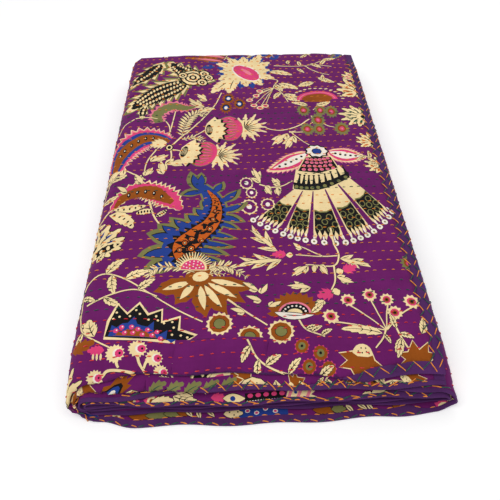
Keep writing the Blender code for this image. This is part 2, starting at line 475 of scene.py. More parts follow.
def thread_cotton(name):
    """Embroidery cotton, in the colour that each stitch has, with a faint twist whose grooves are darkened as
    painted shade.
    """
    tree = Tree(name, ORANGE_THREAD, THREAD_ROUGHNESS, THREAD_SHEEN)
    colour = tree.node("ShaderNodeVertexColor", {"layer_name": "print"})
    flat = tree.node("ShaderNodeUVMap", {"uv_map": "flat"})
    twist = tree.node(
        "ShaderNodeTexWave", {"wave_type": "BANDS", "bands_direction": "DIAGONAL"},
        {"Vector": flat, "Scale": 60.0, "Distortion": 0.3})
    # The twist's bands darken the colour where they are low: painted shade, from the same height as the bump.
    shade = 0.78 + 0.3 * twist
    grey = tree.node("ShaderNodeCombineColor", {}, {0: shade, 1: shade, 2: shade})
    tree.feed("Base Color", tree.mix(1.0, colour, grey, "MULTIPLY"))
    bump = tree.node("ShaderNodeBump", {}, {"Strength": 0.5, "Distance": 0.0003, "Height": twist})
    tree.feed("Normal", bump)
    return tree.material


# Meshes

def mesh_piece(name, points, triangles, colours, flats, material):
    """A smooth mesh object, with a colour for each face and a flat place for each point."""
    mesh = bpy.data.meshes.new(name)
    triangles = np.asarray(triangles, np.int32)
    sides = triangles.shape[1]
    mesh.vertices.add(len(points))
    mesh.vertices.foreach_set("co", np.asarray(points, np.float32).ravel())
    mesh.loops.add(triangles.size)
    mesh.loops.foreach_set("vertex_index", triangles.ravel())
    mesh.polygons.add(len(triangles))
    mesh.polygons.foreach_set("loop_start", np.arange(len(triangles), dtype=np.int32) * sides)
    mesh.update(calc_edges=True)
    mesh.validate()
    layer = mesh.uv_layers.new(name="flat")
    layer.data.foreach_set("uv", np.asarray(flats, np.float32)[triangles.ravel()].ravel())
    ink = mesh.color_attributes.new("print", "FLOAT_COLOR", "CORNER")
    opaque = np.concatenate([np.asarray(colours, np.float32), np.ones((len(triangles), 1), np.float32)], 1)
    ink.data.foreach_set("color", np.repeat(opaque, sides, axis=0).ravel())
    mesh.shade_smooth()
    mesh.materials.append(material)
    piece = bpy.data.objects.new(name, mesh)
    bpy.context.scene.collection.objects.link(piece)
    return piece


def between(p, high, low, soft=0.03):
    """1 between two flat places, falling to 0 over a soft stretch inside each of them."""
    return smooth_step(high, high - soft, p) * (1.0 - smooth_step(low + soft, low, p))


# Where a hem's binding shows narrower: the flat places it lies between, and how
# much of its width is lost there
Narrow = namedtuple("Narrow", "high low cut")
NARROW = {
    "outer": (Narrow(-0.17, -0.34, 0.56), Narrow(-0.72, -0.87, 0.60),
              Narrow(-1.14, -1.42, 0.60), Narrow(-0.31, -0.72, 0.34)),
    "inner": (Narrow(-0.06, -0.45, 0.60), Narrow(-0.72, -0.87, 0.40), Narrow(-0.87, -1.42, 0.62)),
}


def binding_share(p, side):
    """How wide a hem's binding shows, as a share of its full width."""
    share = 1.0
    for stretch in NARROW[side]:
        share = share - stretch.cut * between(p, stretch.high, stretch.low)
    return share


def hem_line(p, side, inwards):
    """The flat places at a distance inwards of a hem; the binding is narrow in places."""
    inwards = inwards * binding_share(p, side)
    if side == "outer":
        return outer_edge(p) + inwards
    return inner_edge(p) - inwards


# The cover

COVER_THICKNESS = 0.0019
SEAM_STEP = 0.004
TURN_ROWS = 0.0018

# Rectangles of evenly spaced points inside the cover, the finest first: flat places
# across and to the back, and the spacings
Patch = namedtuple("Patch", "low high front back across_step back_step")


def inside(points, p0, p1, q0, q1):
    """Which places lie within a range along and a range across the cloth."""
    return (points[:, 0] > p0) & (points[:, 0] < p1) & (points[:, 1] > q0) & (points[:, 1] < q1)


def spread_points(patches, margin):
    """The points of all patches, each outside the ones before it and clear of the seams."""
    kept = []
    for number, patch in enumerate(patches):
        across = np.arange(patch.low + patch.across_step / 2, patch.high, patch.across_step)
        back = np.arange(patch.front + patch.back_step / 2, patch.back, patch.back_step)
        grid = np.stack(np.meshgrid(across, back, indexing="ij"), -1)
        grid[1::2, :, 1] += patch.back_step / 2
        grid = grid.reshape(-1, 2)
        for finer in patches[:number]:
            grid = grid[~inside(grid, finer.low, finer.high, finer.front, finer.back)]
        clear = BINDING_WIDTH + margin * patch.back_step
        grid = grid[
            (grid[:, 1] > hem_line(grid[:, 0], "outer", clear))
            & (grid[:, 1] < hem_line(grid[:, 0], "inner", clear))
            & (grid[:, 0] < TOP_WIDTH / 2 - BINDING_WIDTH - margin * patch.across_step)
            & (grid[:, 0] > FLAT_END + BINDING_WIDTH + margin * patch.across_step)
        ]
        kept.append(grid)
    return np.concatenate(kept)


def cover_outline():
    """The flat outline of the cover between its bindings, counterclockwise."""
    low, high = FLAT_END + BINDING_WIDTH, TOP_WIDTH / 2 - BINDING_WIDTH
    across = np.linspace(low, high, round((high - low) / SEAM_STEP) + 1)
    front = np.stack([across, hem_line(across, "outer", BINDING_WIDTH)], 1)
    back = np.stack([across, hem_line(across, "inner", BINDING_WIDTH)], 1)
    sides = []
    for start, end in ((front[-1], back[-1]), (back[0], front[0])):
        steps = round(abs(end[1] - start[1]) / SEAM_STEP)
        share = np.linspace(0.0, 1.0, steps + 1)[1:-1, None]
        sides.append(start + (end - start) * share)
    return np.concatenate([front, sides[0], back[::-1], sides[1]])


def winding(points, shape):
    """How often a closed shape goes round each point."""
    here = shape[None] - points[:, None]
    there = np.roll(here, -1, axis=1)
    cross = here[..., 0] * there[..., 1] - here[..., 1] * there[..., 0]
    rising = (here[..., 1] <= 0) & (there[..., 1] > 0) & (cross > 0)
    falling = (here[..., 1] > 0) & (there[..., 1] <= 0) & (cross < 0)
    return rising.sum(1) - falling.sum(1)


def topmost(places, inks):
    """The number of the last ink printed over each place, and 0 for the ground."""
    order = np.argsort(places[:, 0])
    ordered = places[order]
    top = np.zeros(len(places), int)
    for number, (_, shape) in enumerate(inks, 1):
        low, high = shape.min(axis=0), shape.max(axis=0)
        first, last = np.searchsorted(ordered[:, 0], (low[0], high[0]))
        near = np.arange(first, last)
        near = near[(ordered[near, 1] > low[1]) & (ordered[near, 1] < high[1])]
        top[order[near[winding(ordered[near], shape) != 0]]] = number
    return top


def triangulate(outline, points, inks):
    """Triangles inside the outline, cut along the edges of the inks, and their colours."""
    corners = [tuple(corner) for corner in outline.tolist()]
    edges = []
    for shape in [outline] + [shape for _, shape in inks]:
        start = 0 if shape is outline else len(corners)
        if shape is not outline:
            corners += [tuple(corner) for corner in shape.tolist()]
        edges += [(start + step, start + (step + 1) % len(shape)) for step in range(len(shape))]
    corners += [tuple(point) for point in points.tolist()]
    result = delaunay_2d_cdt(corners, edges, [], 0, 1e-7, False)
    flats = np.array([tuple(corner) for corner in result[0]])
    triangles = np.array(result[2])
    middles = flats[triangles].mean(axis=1)
    low, high = FLAT_END + BINDING_WIDTH, TOP_WIDTH / 2 - BINDING_WIDTH
    count = round((high - low) / SEAM_STEP) + 1
    across = outline[:count, 0]
    front = np.interp(middles[:, 0], across, outline[:count, 1])
    back = np.interp(middles[:, 0], across, hem_line(across, "inner", BINDING_WIDTH))
    kept = (middles[:, 0] > low) & (middles[:, 0] < high) & (middles[:, 1] > front) & (middles[:, 1] < back)
    triangles, middles = triangles[kept], middles[kept]
    used = np.unique(triangles)
    renumbered = np.full(len(flats), -1)
    renumbered[used] = np.arange(len(used))
    colours = np.array([GROUND] + [colour for colour, _ in inks])[topmost(middles, inks)]
    return flats[used], renumbered[triangles], colours


def rim_loop(triangles, flats, corner):
    """The rim's points in order round the outline, from the one nearest to a corner."""
    edges = {}
    for a, b, c in triangles.tolist():
        for start, end in ((a, b), (b, c), (c, a)):
            if (end, start) in edges:
                del edges[(end, start)]
            else:
                edges[(start, end)] = True
    following = {start: end for start, end in edges}
    places = np.array(list(following))
    first = int(places[np.argmin(np.linalg.norm(flats[places] - corner, axis=1))])
    loop = [first]
    while following[loop[-1]] != first:
        loop.append(following[loop[-1]])
    return loop


def close_rim(outer, inner, outer_flats, inner_flats, shift):
    """Triangles between the rims of the two faces, which have unlike points."""
    shares = []
    for loop, flats in ((outer, outer_flats), (inner, inner_flats)):
        ring = flats[loop + loop[:1]]
        travel = np.concatenate([[0.0], np.cumsum(np.linalg.norm(np.diff(ring, axis=0), axis=1))])
        shares.append(travel / travel[-1])
    a, b = 0, 0
    triangles = []
    while a < len(outer) or b < len(inner):
        here, there = outer[a % len(outer)], inner[b % len(inner)] + shift
        if b == len(inner) or (a < len(outer) and shares[0][a + 1] <= shares[1][b + 1]):
            a += 1
            triangles.append((outer[a % len(outer)], here, there))
        else:
            b += 1
            triangles.append((here, there, inner[b % len(inner)] + shift))
    return triangles


def top_patches():
    """Where the cover's outer face is fine: what shows from above, the sides and the back."""
    turn = 0.7395
    left_foot, right_foot = flat_across("left fold foot"), flat_across("right fold foot")
    right_top = flat_across("right fold top")
    return (
        Patch(FLAT_END, TOP_WIDTH / 2, 0.733, 0.768, 0.016, TURN_ROWS),
        Patch(flat_across("loop foot"), flat_across("loop top"), -0.05, 0.02, 0.0025, 0.004),
        Patch(-TOP_WIDTH / 2 + 0.02, TOP_WIDTH / 2, -0.06, turn, 0.0090, 0.0047),
        Patch(left_foot - 0.01, -TOP_WIDTH / 2 + 0.02, -0.07, turn, 0.0055, 0.0075),
        Patch(right_top - 0.01, right_foot + 0.01, -0.07, turn, 0.0055, 0.012),
        Patch(left_foot - 0.01, TOP_WIDTH / 2, 0.76, 1.70, 0.016, 0.030),
        Patch(flat_across("loop foot"), flat_across("loop top"), 0.0, 1.70, 0.006, 0.03),
        Patch(right_top, right_foot, 0.76, 1.70, 0.008, 0.03),
        Patch(FLAT_END, TOP_WIDTH / 2, -0.10, 1.70, 0.020, 0.030),
    )


def under_patches():
    """Where the cover's inner face is fine: the strips that show at the front."""
    left_foot = flat_across("left fold foot")
    return (
        Patch(flat_across("loop foot"), flat_across("loop top"), 1.50, 1.60, 0.0025, 0.004),
        Patch(FLAT_END, TOP_WIDTH / 2, 0.733, 0.768, 0.016, TURN_ROWS),
        Patch(FLAT_END, TOP_WIDTH / 2, 1.495, 1.60, 0.006, 0.005),
        Patch(FLAT_END, TOP_WIDTH / 2, -0.10, -0.02, 0.006, 0.005),
        Patch(left_foot, -TOP_WIDTH / 2 + 0.03, 0.0, 1.5, 0.006, 0.03),
        Patch(flat_across("loop foot"), flat_across("right fold foot"), 0.0, 1.5, 0.006, 0.03),
        Patch(FLAT_END, TOP_WIDTH / 2, -0.10, 1.70, 0.024, 0.036),
    )


def make_cover(material, outer_inks, under_inks, thickness):
    """The printed cloth, one closed sheet with the print in its faces' colours."""
    outline = cover_outline()
    outer = triangulate(outline, spread_points(top_patches(), 0.5), outer_inks)
    under = triangulate(outline, spread_points(under_patches(), 0.5), under_inks)
    shift = len(outer[0])
    corner = outline[0]
    loops = [rim_loop(faces, flats, corner) for flats, faces, _ in (outer, under)]
    rim = close_rim(loops[0], loops[1], outer[0], under[0], shift)
    placed = [
        lay(flats[:, 0], flats[:, 1], lift)[0]
        for (flats, _, _), lift in ((outer, thickness / 2), (under, -thickness / 2))
    ]
    triangles = np.concatenate([outer[1], under[1][:, ::-1] + shift, np.array(rim)])
    colours = np.concatenate([outer[2], under[2], np.tile(GROUND, (len(rim), 1))])
    return mesh_piece(
        "printed_cover", np.concatenate(placed), triangles, colours,
        np.concatenate([outer[0], under[0]]), material)


# The bindings

BINDING_THICKNESS = 0.0026
BINDING_LAP = 0.0009
BINDING_STEP = 0.005


def binding_section(across_steps):
    """A binding's section: shares of its width from its edge, and of its half thickness."""
    flat = np.linspace(0.10, 1.0, across_steps)
    edge = [(0.035, 0.86), (0.0, 0.45)]
    upper = [(share, 1.0) for share in flat[::-1]] + edge
    return np.array(upper + [(share, -height) for share, height in upper[::-1]])


def make_binding(name, material, places, section_steps, closed_colour, thickness):
    """A folded strip of plain cloth sewn round an edge.

    places gives the flat places of the strip for a share of its length and a
    distance from its edge."""
    section = binding_section(section_steps)
    rings = []
    flats = []
    for along in places.samples:
        distance = section[:, 0] * (BINDING_WIDTH + BINDING_LAP)
        p, q = places.point(along, distance)
        lift = section[:, 1] * thickness / 2
        rings.append(lay(p, q, lift, quilted=False)[0])
        flats.append(np.stack([p, q], 1))
    count = len(section)
    quads = []
    for ring in range(len(rings) - 1):
        for side in range(count):
            after = (side + 1) % count
            quads.append((ring * count + side, ring * count + after,
                          (ring + 1) * count + after, (ring + 1) * count + side))
    points = np.concatenate(rings)
    quads = np.array(quads)
    triangles = np.concatenate([quads[:, [0, 1, 2]], quads[:, [0, 2, 3]]])
    last = (len(rings) - 1) * count
    caps = [(0, side + 1, side) for side in range(1, count - 1)]
    caps += [(last, last + side, last + side + 1) for side in range(1, count - 1)]
    triangles = np.concatenate([triangles, np.array(caps)])
    if places.reversed:
        triangles = triangles[:, ::-1]
    colours = np.tile(closed_colour, (len(triangles), 1))
    return mesh_piece(name, points, triangles, colours, np.concatenate(flats), material)


class HemPlaces:
    """Flat places of a binding along the outer or the inner hem."""

    def __init__(self, side):
        self.side = side
        steps = round(CLOTH_LENGTH / BINDING_STEP)
        self.samples = np.linspace(TOP_WIDTH / 2, FLAT_END, steps + 1)
        self.reversed = side == "outer"

    def point(self, along, distance):
        """The flat places at distances inwards of the hem, for a place along the cloth."""
        p = np.full(len(distance), along)
        return p, hem_line(p, self.side, distance)


class EndPlaces:
    """Flat places of a binding across one end of the cloth, round the back fold."""

    def __init__(self, end_p, inwards):
        self.end_p = end_p
        self.inwards = inwards
        self.reversed = inwards > 0
        low, high = outer_edge(end_p) + BINDING_WIDTH, inner_edge(end_p) - BINDING_WIDTH
        back = station_at(end_p)[6]
        turn = np.linspace(back - 0.002, back + TURN_LENGTH + 0.002, 11)
        front = np.arange(low - BINDING_LAP, back - 0.003, BINDING_STEP)
        rest = np.arange(high + BINDING_LAP, back + TURN_LENGTH + 0.003, -BINDING_STEP)[::-1]
        self.samples = np.concatenate([front, turn, rest])

    def point(self, along, distance):
        """The flat places at distances inwards of the end, for a place from hem to hem."""
        return self.end_p + self.inwards * distance, np.full(len(distance), along)


# Stage

CAMERA_PLACE = (-0.018, -0.315, 0.653)
CAMERA_PITCH = math.radians(50.3)
CAMERA_YAW = math.radians(2.0)
CAMERA_LENS = 36.0
FLOOR_SIZE = 12.0


def make_camera(lens):
    """The photograph's view: from above the front edge, looking down to the back."""
    camera = bpy.data.cameras.new("camera")
    camera.lens = lens
    camera.sensor_width = 36.0
    holder = bpy.data.objects.new("camera", camera)
    bpy.context.scene.collection.objects.link(holder)
    x, y, z = CAMERA_PLACE
    holder.location = (x + SHIFT_X, y + SHIFT_Y, z)
    holder.rotation_euler = (math.pi / 2 - CAMERA_PITCH, 0.0, -CAMERA_YAW)
    bpy.context.scene.camera = holder


Lamp = namedtuple("Lamp", "name place aim size power")
LAMPS = (
    Lamp("key", (-0.9, -0.6, 1.9), (0.0, 0.0, 0.0), 1.6, 17.0),
    Lamp("fill", (1.3, 0.2, 1.5), (0.0, 0.0, 0.0), 1.8, 6.5),
    Lamp("back", (0.2, 1.7, 1.3), (0.0, 0.2, 0.0), 1.4, 5.0),
)


def make_lamps():
    """Soft light from the left, the right and the back."""
    for lamp in LAMPS:
        light = bpy.data.lights.new(lamp.name, "AREA")
        light.size = lamp.size
        light.energy = lamp.power
        holder = bpy.data.objects.new(lamp.name, light)
        bpy.context.scene.collection.objects.link(holder)
        holder.location = lamp.place
        aim = [b - a for a, b in zip(lamp.place, lamp.aim)]
        level = math.hypot(aim[0], aim[1])
        holder.rotation_euler = (math.atan2(level, -aim[2]), 0.0, math.atan2(-aim[0], aim[1]))


# The print: drawing on flat cloth, in metres

def bent(length, bend, share):
    """Places and headings along an arc of a length, from the origin, for shares of it."""
    share = np.asarray(share, float)
    heading = bend * (share - 0.5)
    steps = np.linspace(0.0, 1.0, 41)
    cosines, sines = np.cos(bend * (steps - 0.5)), np.sin(bend * (steps - 0.5))
    x = np.concatenate([[0.0], np.cumsum((cosines[1:] + cosines[:-1]) / 2)]) / 40
    y = np.concatenate([[0.0], np.cumsum((sines[1:] + sines[:-1]) / 2)]) / 40
    return np.interp(share, steps, x) * length, np.interp(share, steps, y) * length, heading


def smooth_line(points, steps=6):
    """A smooth curve through a few points."""
    points = np.asarray(points, float)
    ends = np.concatenate([[2 * points[0] - points[1]], points, [2 * points[-1] - points[-2]]])
    line = []
    for a, b, c, d in zip(ends, ends[1:], ends[2:], ends[3:]):
        for t in np.arange(steps) / steps:
            line.append(
                0.5 * (2 * b + (c - a) * t + (2 * a - 5 * b + 4 * c - d) * t**2
                       + (3 * b - a - 3 * c + d) * t**3))
    return np.array(line + [points[-1]])


def grown(shape, distance):
    """A closed shape with its corners moved outwards."""
    before, after = np.roll(shape, 1, axis=0), np.roll(shape, -1, axis=0)
    along = after - before
    area = np.sum(shape[:, 0] * after[:, 1] - shape[:, 1] * after[:, 0])
    normal = np.stack([along[:, 1], -along[:, 0]], 1) * np.sign(area)
    length = np.maximum(np.linalg.norm(normal, axis=1, keepdims=True), 1e-9)
    return shape + normal / length * distance


def around(sides, rx, ry=None, start=0.0, sweep=360.0):
    """Points on an ellipse or on a stretch of one, in degrees."""
    whole = sweep == 360.0
    angles = np.radians(start + sweep * np.arange(sides + (not whole)) / sides)
    return np.stack([rx * np.cos(angles), (rx if ry is None else ry) * np.sin(angles)], 1)


def spiky(spikes, outer, inner, squash=1.0, start=0.0):
    """A star of many points."""
    points = around(2 * spikes, 1.0, start=start)
    points[::2] *= outer
    points[1::2] *= inner
    return points * (1.0, squash)


def toothed(length, width, bend=0.0, teeth=6, depth=0.3, fullness=0.75):
    """A toothed leaf from the origin along +X."""
    shares, heights = [], []
    for tooth in range(teeth):
        for at, height in ((0.0, 1.0 - depth), (0.62, 1.0)):
            shares.append((tooth + at) / teeth)
            heights.append(height)
    shares, heights = np.array(shares[1:]), np.array(heights[1:])
    half = width / 2 * np.sin(np.pi * shares**fullness) ** 0.7 * heights
    lean = 0.35 * half * (heights == 1.0)
    x, y, heading = bent(length, bend, shares)
    sides = []
    for side in (1, -1):
        sides.append(np.stack([
            x - side * half * np.sin(heading) + lean * np.cos(heading),
            y + side * half * np.cos(heading) + lean * np.sin(heading)], 1))
    tip = np.array(bent(length, bend, [1.0])[:2]).T
    return np.concatenate([[(0.0, 0.0)], sides[1], tip, sides[0][::-1]])


def blade(length, width, bend=0.0, steps=6, widest=0.45):
    """A smooth petal or leaf from the origin along +X, pointed at both ends."""
    shares = np.arange(1, steps) / steps
    power = math.log(0.5) / math.log(widest)
    half = width / 2 * np.sin(np.pi * shares**power)
    x, y, heading = bent(length, bend, shares)
    left = np.stack([x - half * np.sin(heading), y + half * np.cos(heading)], 1)
    right = np.stack([x + half * np.sin(heading), y - half * np.cos(heading)], 1)
    tip = np.array(bent(length, bend, [1.0])[:2]).T
    return np.concatenate([[(0.0, 0.0)], right, tip, left[::-1]])


def rough(shape, depth):
    """A closed shape with every other corner moved outwards."""
    shape = np.array(shape, float)
    shape[1::2] = grown(shape, depth)[1::2]
    return shape


def ribbon(line, widths):
    """A strip along a line, with a width at each point."""
    line = np.asarray(line, float)
    widths = np.broadcast_to(widths, len(line))
    along = np.gradient(line, axis=0)
    along /= np.maximum(np.linalg.norm(along, axis=1, keepdims=True), 1e-9)
    side = np.stack([-along[:, 1], along[:, 0]], 1) * widths[:, None] / 2
    return np.concatenate([line + side, (line - side)[::-1]])


OUTLINE = 0.0009


class Pen:
    """Inks on the flat cloth, drawn in a motif's own place, turn and size."""

    def __init__(self, inks, x=0.0, y=0.0, turn=0.0, size=1.0, mirror=1.0):
        self.inks, self.place, self.turn, self.size, self.mirror = inks, (x, y), turn, size, mirror

    def at(self, x, y, turn=0.0, size=1.0, mirror=1.0):
        """A pen for a motif at a place of this one's."""
        x, y = self.flat(np.array([[x, y]]))[0]
        return Pen(self.inks, x, y, self.turn + self.mirror * turn, self.size * size,
                   self.mirror * mirror)

    def towards(self, start, end, mirror=1.0):
        """A pen at start whose +X points to end, and the distance between them."""
        dx, dy = end[0] - start[0], end[1] - start[1]
        pen = self.at(*start, math.degrees(math.atan2(dy, dx)), 1.0, mirror)
        return pen, math.hypot(dx, dy)

    def flat(self, shape):
        """A shape's flat places."""
        angle = math.radians(self.turn)
        x, y = shape[:, 0] * self.size, shape[:, 1] * self.size * self.mirror
        cosine, sine = math.cos(angle), math.sin(angle)
        return np.stack([x * cosine - y * sine, x * sine + y * cosine], 1) + self.place

    def fill(self, colour, shape, x=0.0, y=0.0):
        """Print a closed shape."""
        self.inks.append((colour, self.flat(np.asarray(shape, float) + (x, y))))

    def upright(self, colour, shape, x=0.0, y=0.0):
        """Print a closed shape at a place, not turned with the motif."""
        place = self.flat(np.array([[x, y]], float))[0]
        self.inks.append((colour, np.asarray(shape, float) * self.size + place))

    def lined(self, colour, shape, line_colour, x=0.0, y=0.0, width=OUTLINE):
        """Print a closed shape with a thin line round it."""
        self.fill(line_colour, grown(shape, width), x, y)
        self.fill(colour, shape, x, y)

    def dots(self, colour, places, rx, ry=None, sides=6):
        """Print a dot at each place."""
        for x, y in places:
            self.fill(colour, around(sides, rx, ry), x, y)


# Motifs

def daisy(pen, radius, rings, spikes=12, depth=0.28):
    """A round flower, tall towards the back: a spiky rim, then rings of colour inside it."""
    squash = 0.95 + 0.95 * max(pen.place[1], 0.0)
    pen.fill(rings[0][1], spiky(spikes, radius * rings[0][0], radius * rings[0][0] * (1 - depth), squash))
    for share, colour in rings[1:]:
        pen.fill(colour, around(10, radius * share, radius * share * squash))


RUST_DAISY = ((1.0, RUST), (0.55, BLACK), (0.42, BLUE), (0.25, WHITE))
OLIVE_DAISY = ((1.0, OLIVE), (0.52, RUST), (0.30, PINK), (0.14, ROSE))
PINK_DAISY = ((1.0, CREAM), (0.56, PINK), (0.36, RUST), (0.18, BLACK))
SMALL_DAISY = ((1.0, PINK), (0.86, RUST), (0.48, OLIVE), (0.18, BLACK))
RING_DAISY = ((1.0, CREAM), (0.76, GROUND), (0.30, WHITE))
LARGE_DAISY = ((1.0, CREAM), (0.76, RUST), (0.46, BLACK), (0.42, OLIVE))


def sprig_leaf(pen, length, width, bend=0.5, colour=CREAM, teeth=5):
    """A small cream leaf with a dark edge, a dark vein and side veins."""
    pen.lined(colour, toothed(length, width, bend, teeth, 0.24), BLACK, width=0.0007)
    x, y, heading = bent(length, bend, np.linspace(0.05, 0.90, 5))
    pen.fill(BLACK, ribbon(np.stack([x, y], 1), np.linspace(0.0013, 0.0005, 5)))
    for place in range(1, 3):
        for side in (1, -1):
            angle = heading[place] + side * 0.8
            tip = (x[place] + 0.36 * width * math.cos(angle), y[place] + 0.36 * width * math.sin(angle))
            pen.fill(BLACK, ribbon([(x[place], y[place]), tip], (0.0012, 0.0005)))


def fern(pen, points, width, pairs=7, colour=CREAM):
    """A feathery leaf of narrow leaflets on both sides of a curved rib."""
    line = smooth_line(points, 6)
    along = np.gradient(line, axis=0)
    for place in np.linspace(1, len(line) - 2, pairs).astype(int):
        share = place / (len(line) - 1)
        size = width / 2 * math.sin(math.pi * (0.2 + 0.72 * share)) ** 0.8
        heading = math.degrees(math.atan2(along[place, 1], along[place, 0]))
        for side in (1, -1):
            leaflet = pen.at(*line[place], heading + side * 52)
            leaflet.fill(BLACK, blade(size * 1.08, size * 0.38, side * 0.5, 3))
            leaflet.fill(colour, blade(size, size * 0.26, side * 0.5, 3))
    pen.fill(BLACK, ribbon(line, np.linspace(0.0024, 0.0012, len(line))))
    pen.fill(colour, ribbon(line, np.linspace(0.0011, 0.0006, len(line))))


def stem(pen, points, width=0.0026, colour=CREAM):
    """A cream stem with a dark line along it."""
    line = smooth_line(points, 6)
    pen.fill(BLACK, ribbon(line + (0.0004, -0.0005), np.linspace(width, width * 0.7, len(line)) + 0.0006))
    pen.fill(colour, ribbon(line, np.linspace(width, width * 0.7, len(line))))


def leafy_stem(pen, points, leaves, size=0.026):
    """A stem with small leaves: each at a share of its length, on a side."""
    stem(pen, points)
    line = smooth_line(points, 6)
    for share, side in leaves:
        place = min(int(share * (len(line) - 1)), len(line) - 2)
        dx, dy = line[place + 1] - line[place]
        turn = math.degrees(math.atan2(dy, dx)) + side * 55
        sprig_leaf(pen.at(*line[place], turn), size, size * 0.42, -0.5 * side)


def lobes(pen, spine, places, colour, length_share, width_share):
    """Curved lobes from a spine: each from a share of it to a tip, of a width and a bend."""
    for share, tip, width, bend in places:
        root = spine[int(share * (len(spine) - 1))]
        lobe, length = pen.towards(root, tip)
        lobe.fill(colour, blade(length * length_share, width * width_share, bend, 7, 0.56))


FLAME_LOBES = (
    (0.02, (-0.164, 0.134), 0.030, 0.8), (0.10, (-0.174, 0.166), 0.032, 0.7),
    (0.20, (-0.164, 0.212), 0.034, 0.6), (0.30, (-0.148, 0.232), 0.030, -0.5),
    (0.40, (-0.130, 0.246), 0.028, -0.7), (0.50, (-0.106, 0.254), 0.026, -0.6),
    (0.58, (-0.092, 0.268), 0.022, -0.6), (0.68, (-0.080, 0.284), 0.020, -0.6),
    (0.90, (-0.118, 0.296), 0.020, 0.8), (0.93, (-0.100, 0.358), 0.026, -0.8),
    (0.97, (-0.080, 0.354), 0.020, -0.5), (0.88, (-0.040, 0.328), 0.020, 0.7),
    (0.76, (-0.010, 0.310), 0.020, 0.8), (0.66, (0.002, 0.278), 0.018, 0.9),
    (0.56, (-0.004, 0.232), 0.020, -0.7), (0.50, (-0.012, 0.214), 0.014, -0.4),
    (0.40, (-0.017, 0.196), 0.016, 0.4), (0.30, (-0.021, 0.179), 0.016, 0.5),
    (0.18, (-0.030, 0.162), 0.016, -0.5), (0.08, (-0.038, 0.149), 0.014, -0.5),
)
FLAME_EYES = (
    (-0.108, 0.176, 0.0054), (-0.101, 0.190, 0.0056), (-0.091, 0.198, 0.0060), (-0.091, 0.179, 0.0070),
    (-0.075, 0.194, 0.0046), (-0.063, 0.218, 0.0056), (-0.058, 0.238, 0.0050), (-0.055, 0.256, 0.0036),
)


def flame_leaf(pen):
    """A large blue leaf of flame-like lobes with olive rims, and a rust core with eyes."""
    spine = smooth_line([(-0.100, 0.148), (-0.106, 0.178), (-0.088, 0.206), (-0.064, 0.232),
                         (-0.056, 0.262), (-0.062, 0.290), (-0.078, 0.318)], 5)
    widths = np.interp(np.linspace(0, 1, len(spine)), (0, 0.18, 0.4, 0.7, 1),
                       (0.054, 0.062, 0.050, 0.036, 0.014))
    pen.fill(OLIVE, ribbon(spine, widths + 0.007))
    lobes(pen, spine, FLAME_LOBES, OLIVE, 1.0, 1.0)
    lobes(pen, spine, FLAME_LOBES, BLACK, 0.86, 0.62)
    lobes(pen, spine, FLAME_LOBES, BLUE, 0.83, 0.52)
    pen.fill(BLUE, ribbon(spine, widths))
    core = smooth_line([(-0.094, 0.154), (-0.102, 0.181), (-0.084, 0.205), (-0.062, 0.228),
                        (-0.053, 0.254), (-0.055, 0.282), (-0.068, 0.306)], 6)
    thick = np.interp(np.linspace(0, 1, len(core)), (0, 0.2, 0.4, 0.7, 1),
                      (0.034, 0.042, 0.036, 0.020, 0.003))
    teeth = 1 + 0.22 * np.tile((1, -1), len(core))[: len(core)]
    pen.fill(BLACK, ribbon(core, thick * 1.12 * teeth))
    pen.fill(ORANGE, ribbon(core, thick * 0.84))
    for place in range(1, len(core) - 2, 2):
        x, y = core[place]
        for turn in (20, 140, 260):
            fleck = pen.at(x, y, turn + 37 * place)
            fleck.fill(BLACK, blade(thick[place] * 0.44, thick[place] * 0.17, 0.9, 4))
    for x, y, size in FLAME_EYES:
        pen.fill(BLACK, around(9, size, size * 1.15), x, y)
        pen.fill(ORANGE, around(8, size * 0.68, size * 0.76), x, y)
        pen.fill(BLACK, around(7, size * 0.40, size * 0.44), x, y)
        pen.fill(CREAM, around(5, size * 0.24), x, y)


def arched_band(pen, points, widths, layers, eyes=()):
    """A curved band in layers of colour, ragged at its edges, with eyes at shares of it."""
    line = smooth_line(points, 7)
    shares = np.linspace(0, 1, len(line))
    width = np.interp(shares, np.linspace(0, 1, len(widths)), widths)
    teeth = np.tile((1, -1), len(line))[: len(line)]
    for share, colour, depth in layers:
        pen.fill(colour, ribbon(line, width * share * (1 + depth * teeth)))
    for share in eyes:
        x, y = line[int(share * (len(line) - 1))]
        pen.fill(BLACK, around(8, 0.0030, 0.0058), x, y)
        pen.fill(WHITE, around(5, 0.0011, 0.0022), x - 0.0006, y + 0.0006)


def spray(pen, root, tip, leaves=4, width=0.010, colour=CREAM):
    """A tuft of narrow leaves with dark veins, fanned about a line."""
    base, length = pen.towards(root, tip)
    for number in range(leaves):
        share = number / max(leaves - 1, 1)
        leaf = base.at(length * 0.16 * number, 0.0, (-1) ** number * (34 - 20 * share))
        reach = length * (0.52 + 0.1 * (number % 2))
        leaf.lined(colour, blade(reach, width, 0.5 * (-1) ** number, 5), BLACK, width=0.0006)
        leaf.at(reach * 0.1, 0.0).fill(BLACK, blade(reach * 0.6, width * 0.16, 0.4 * (-1) ** number, 3))
    base.lined(colour, blade(length, width * 0.8, 0.2, 6), BLACK, width=0.0006)


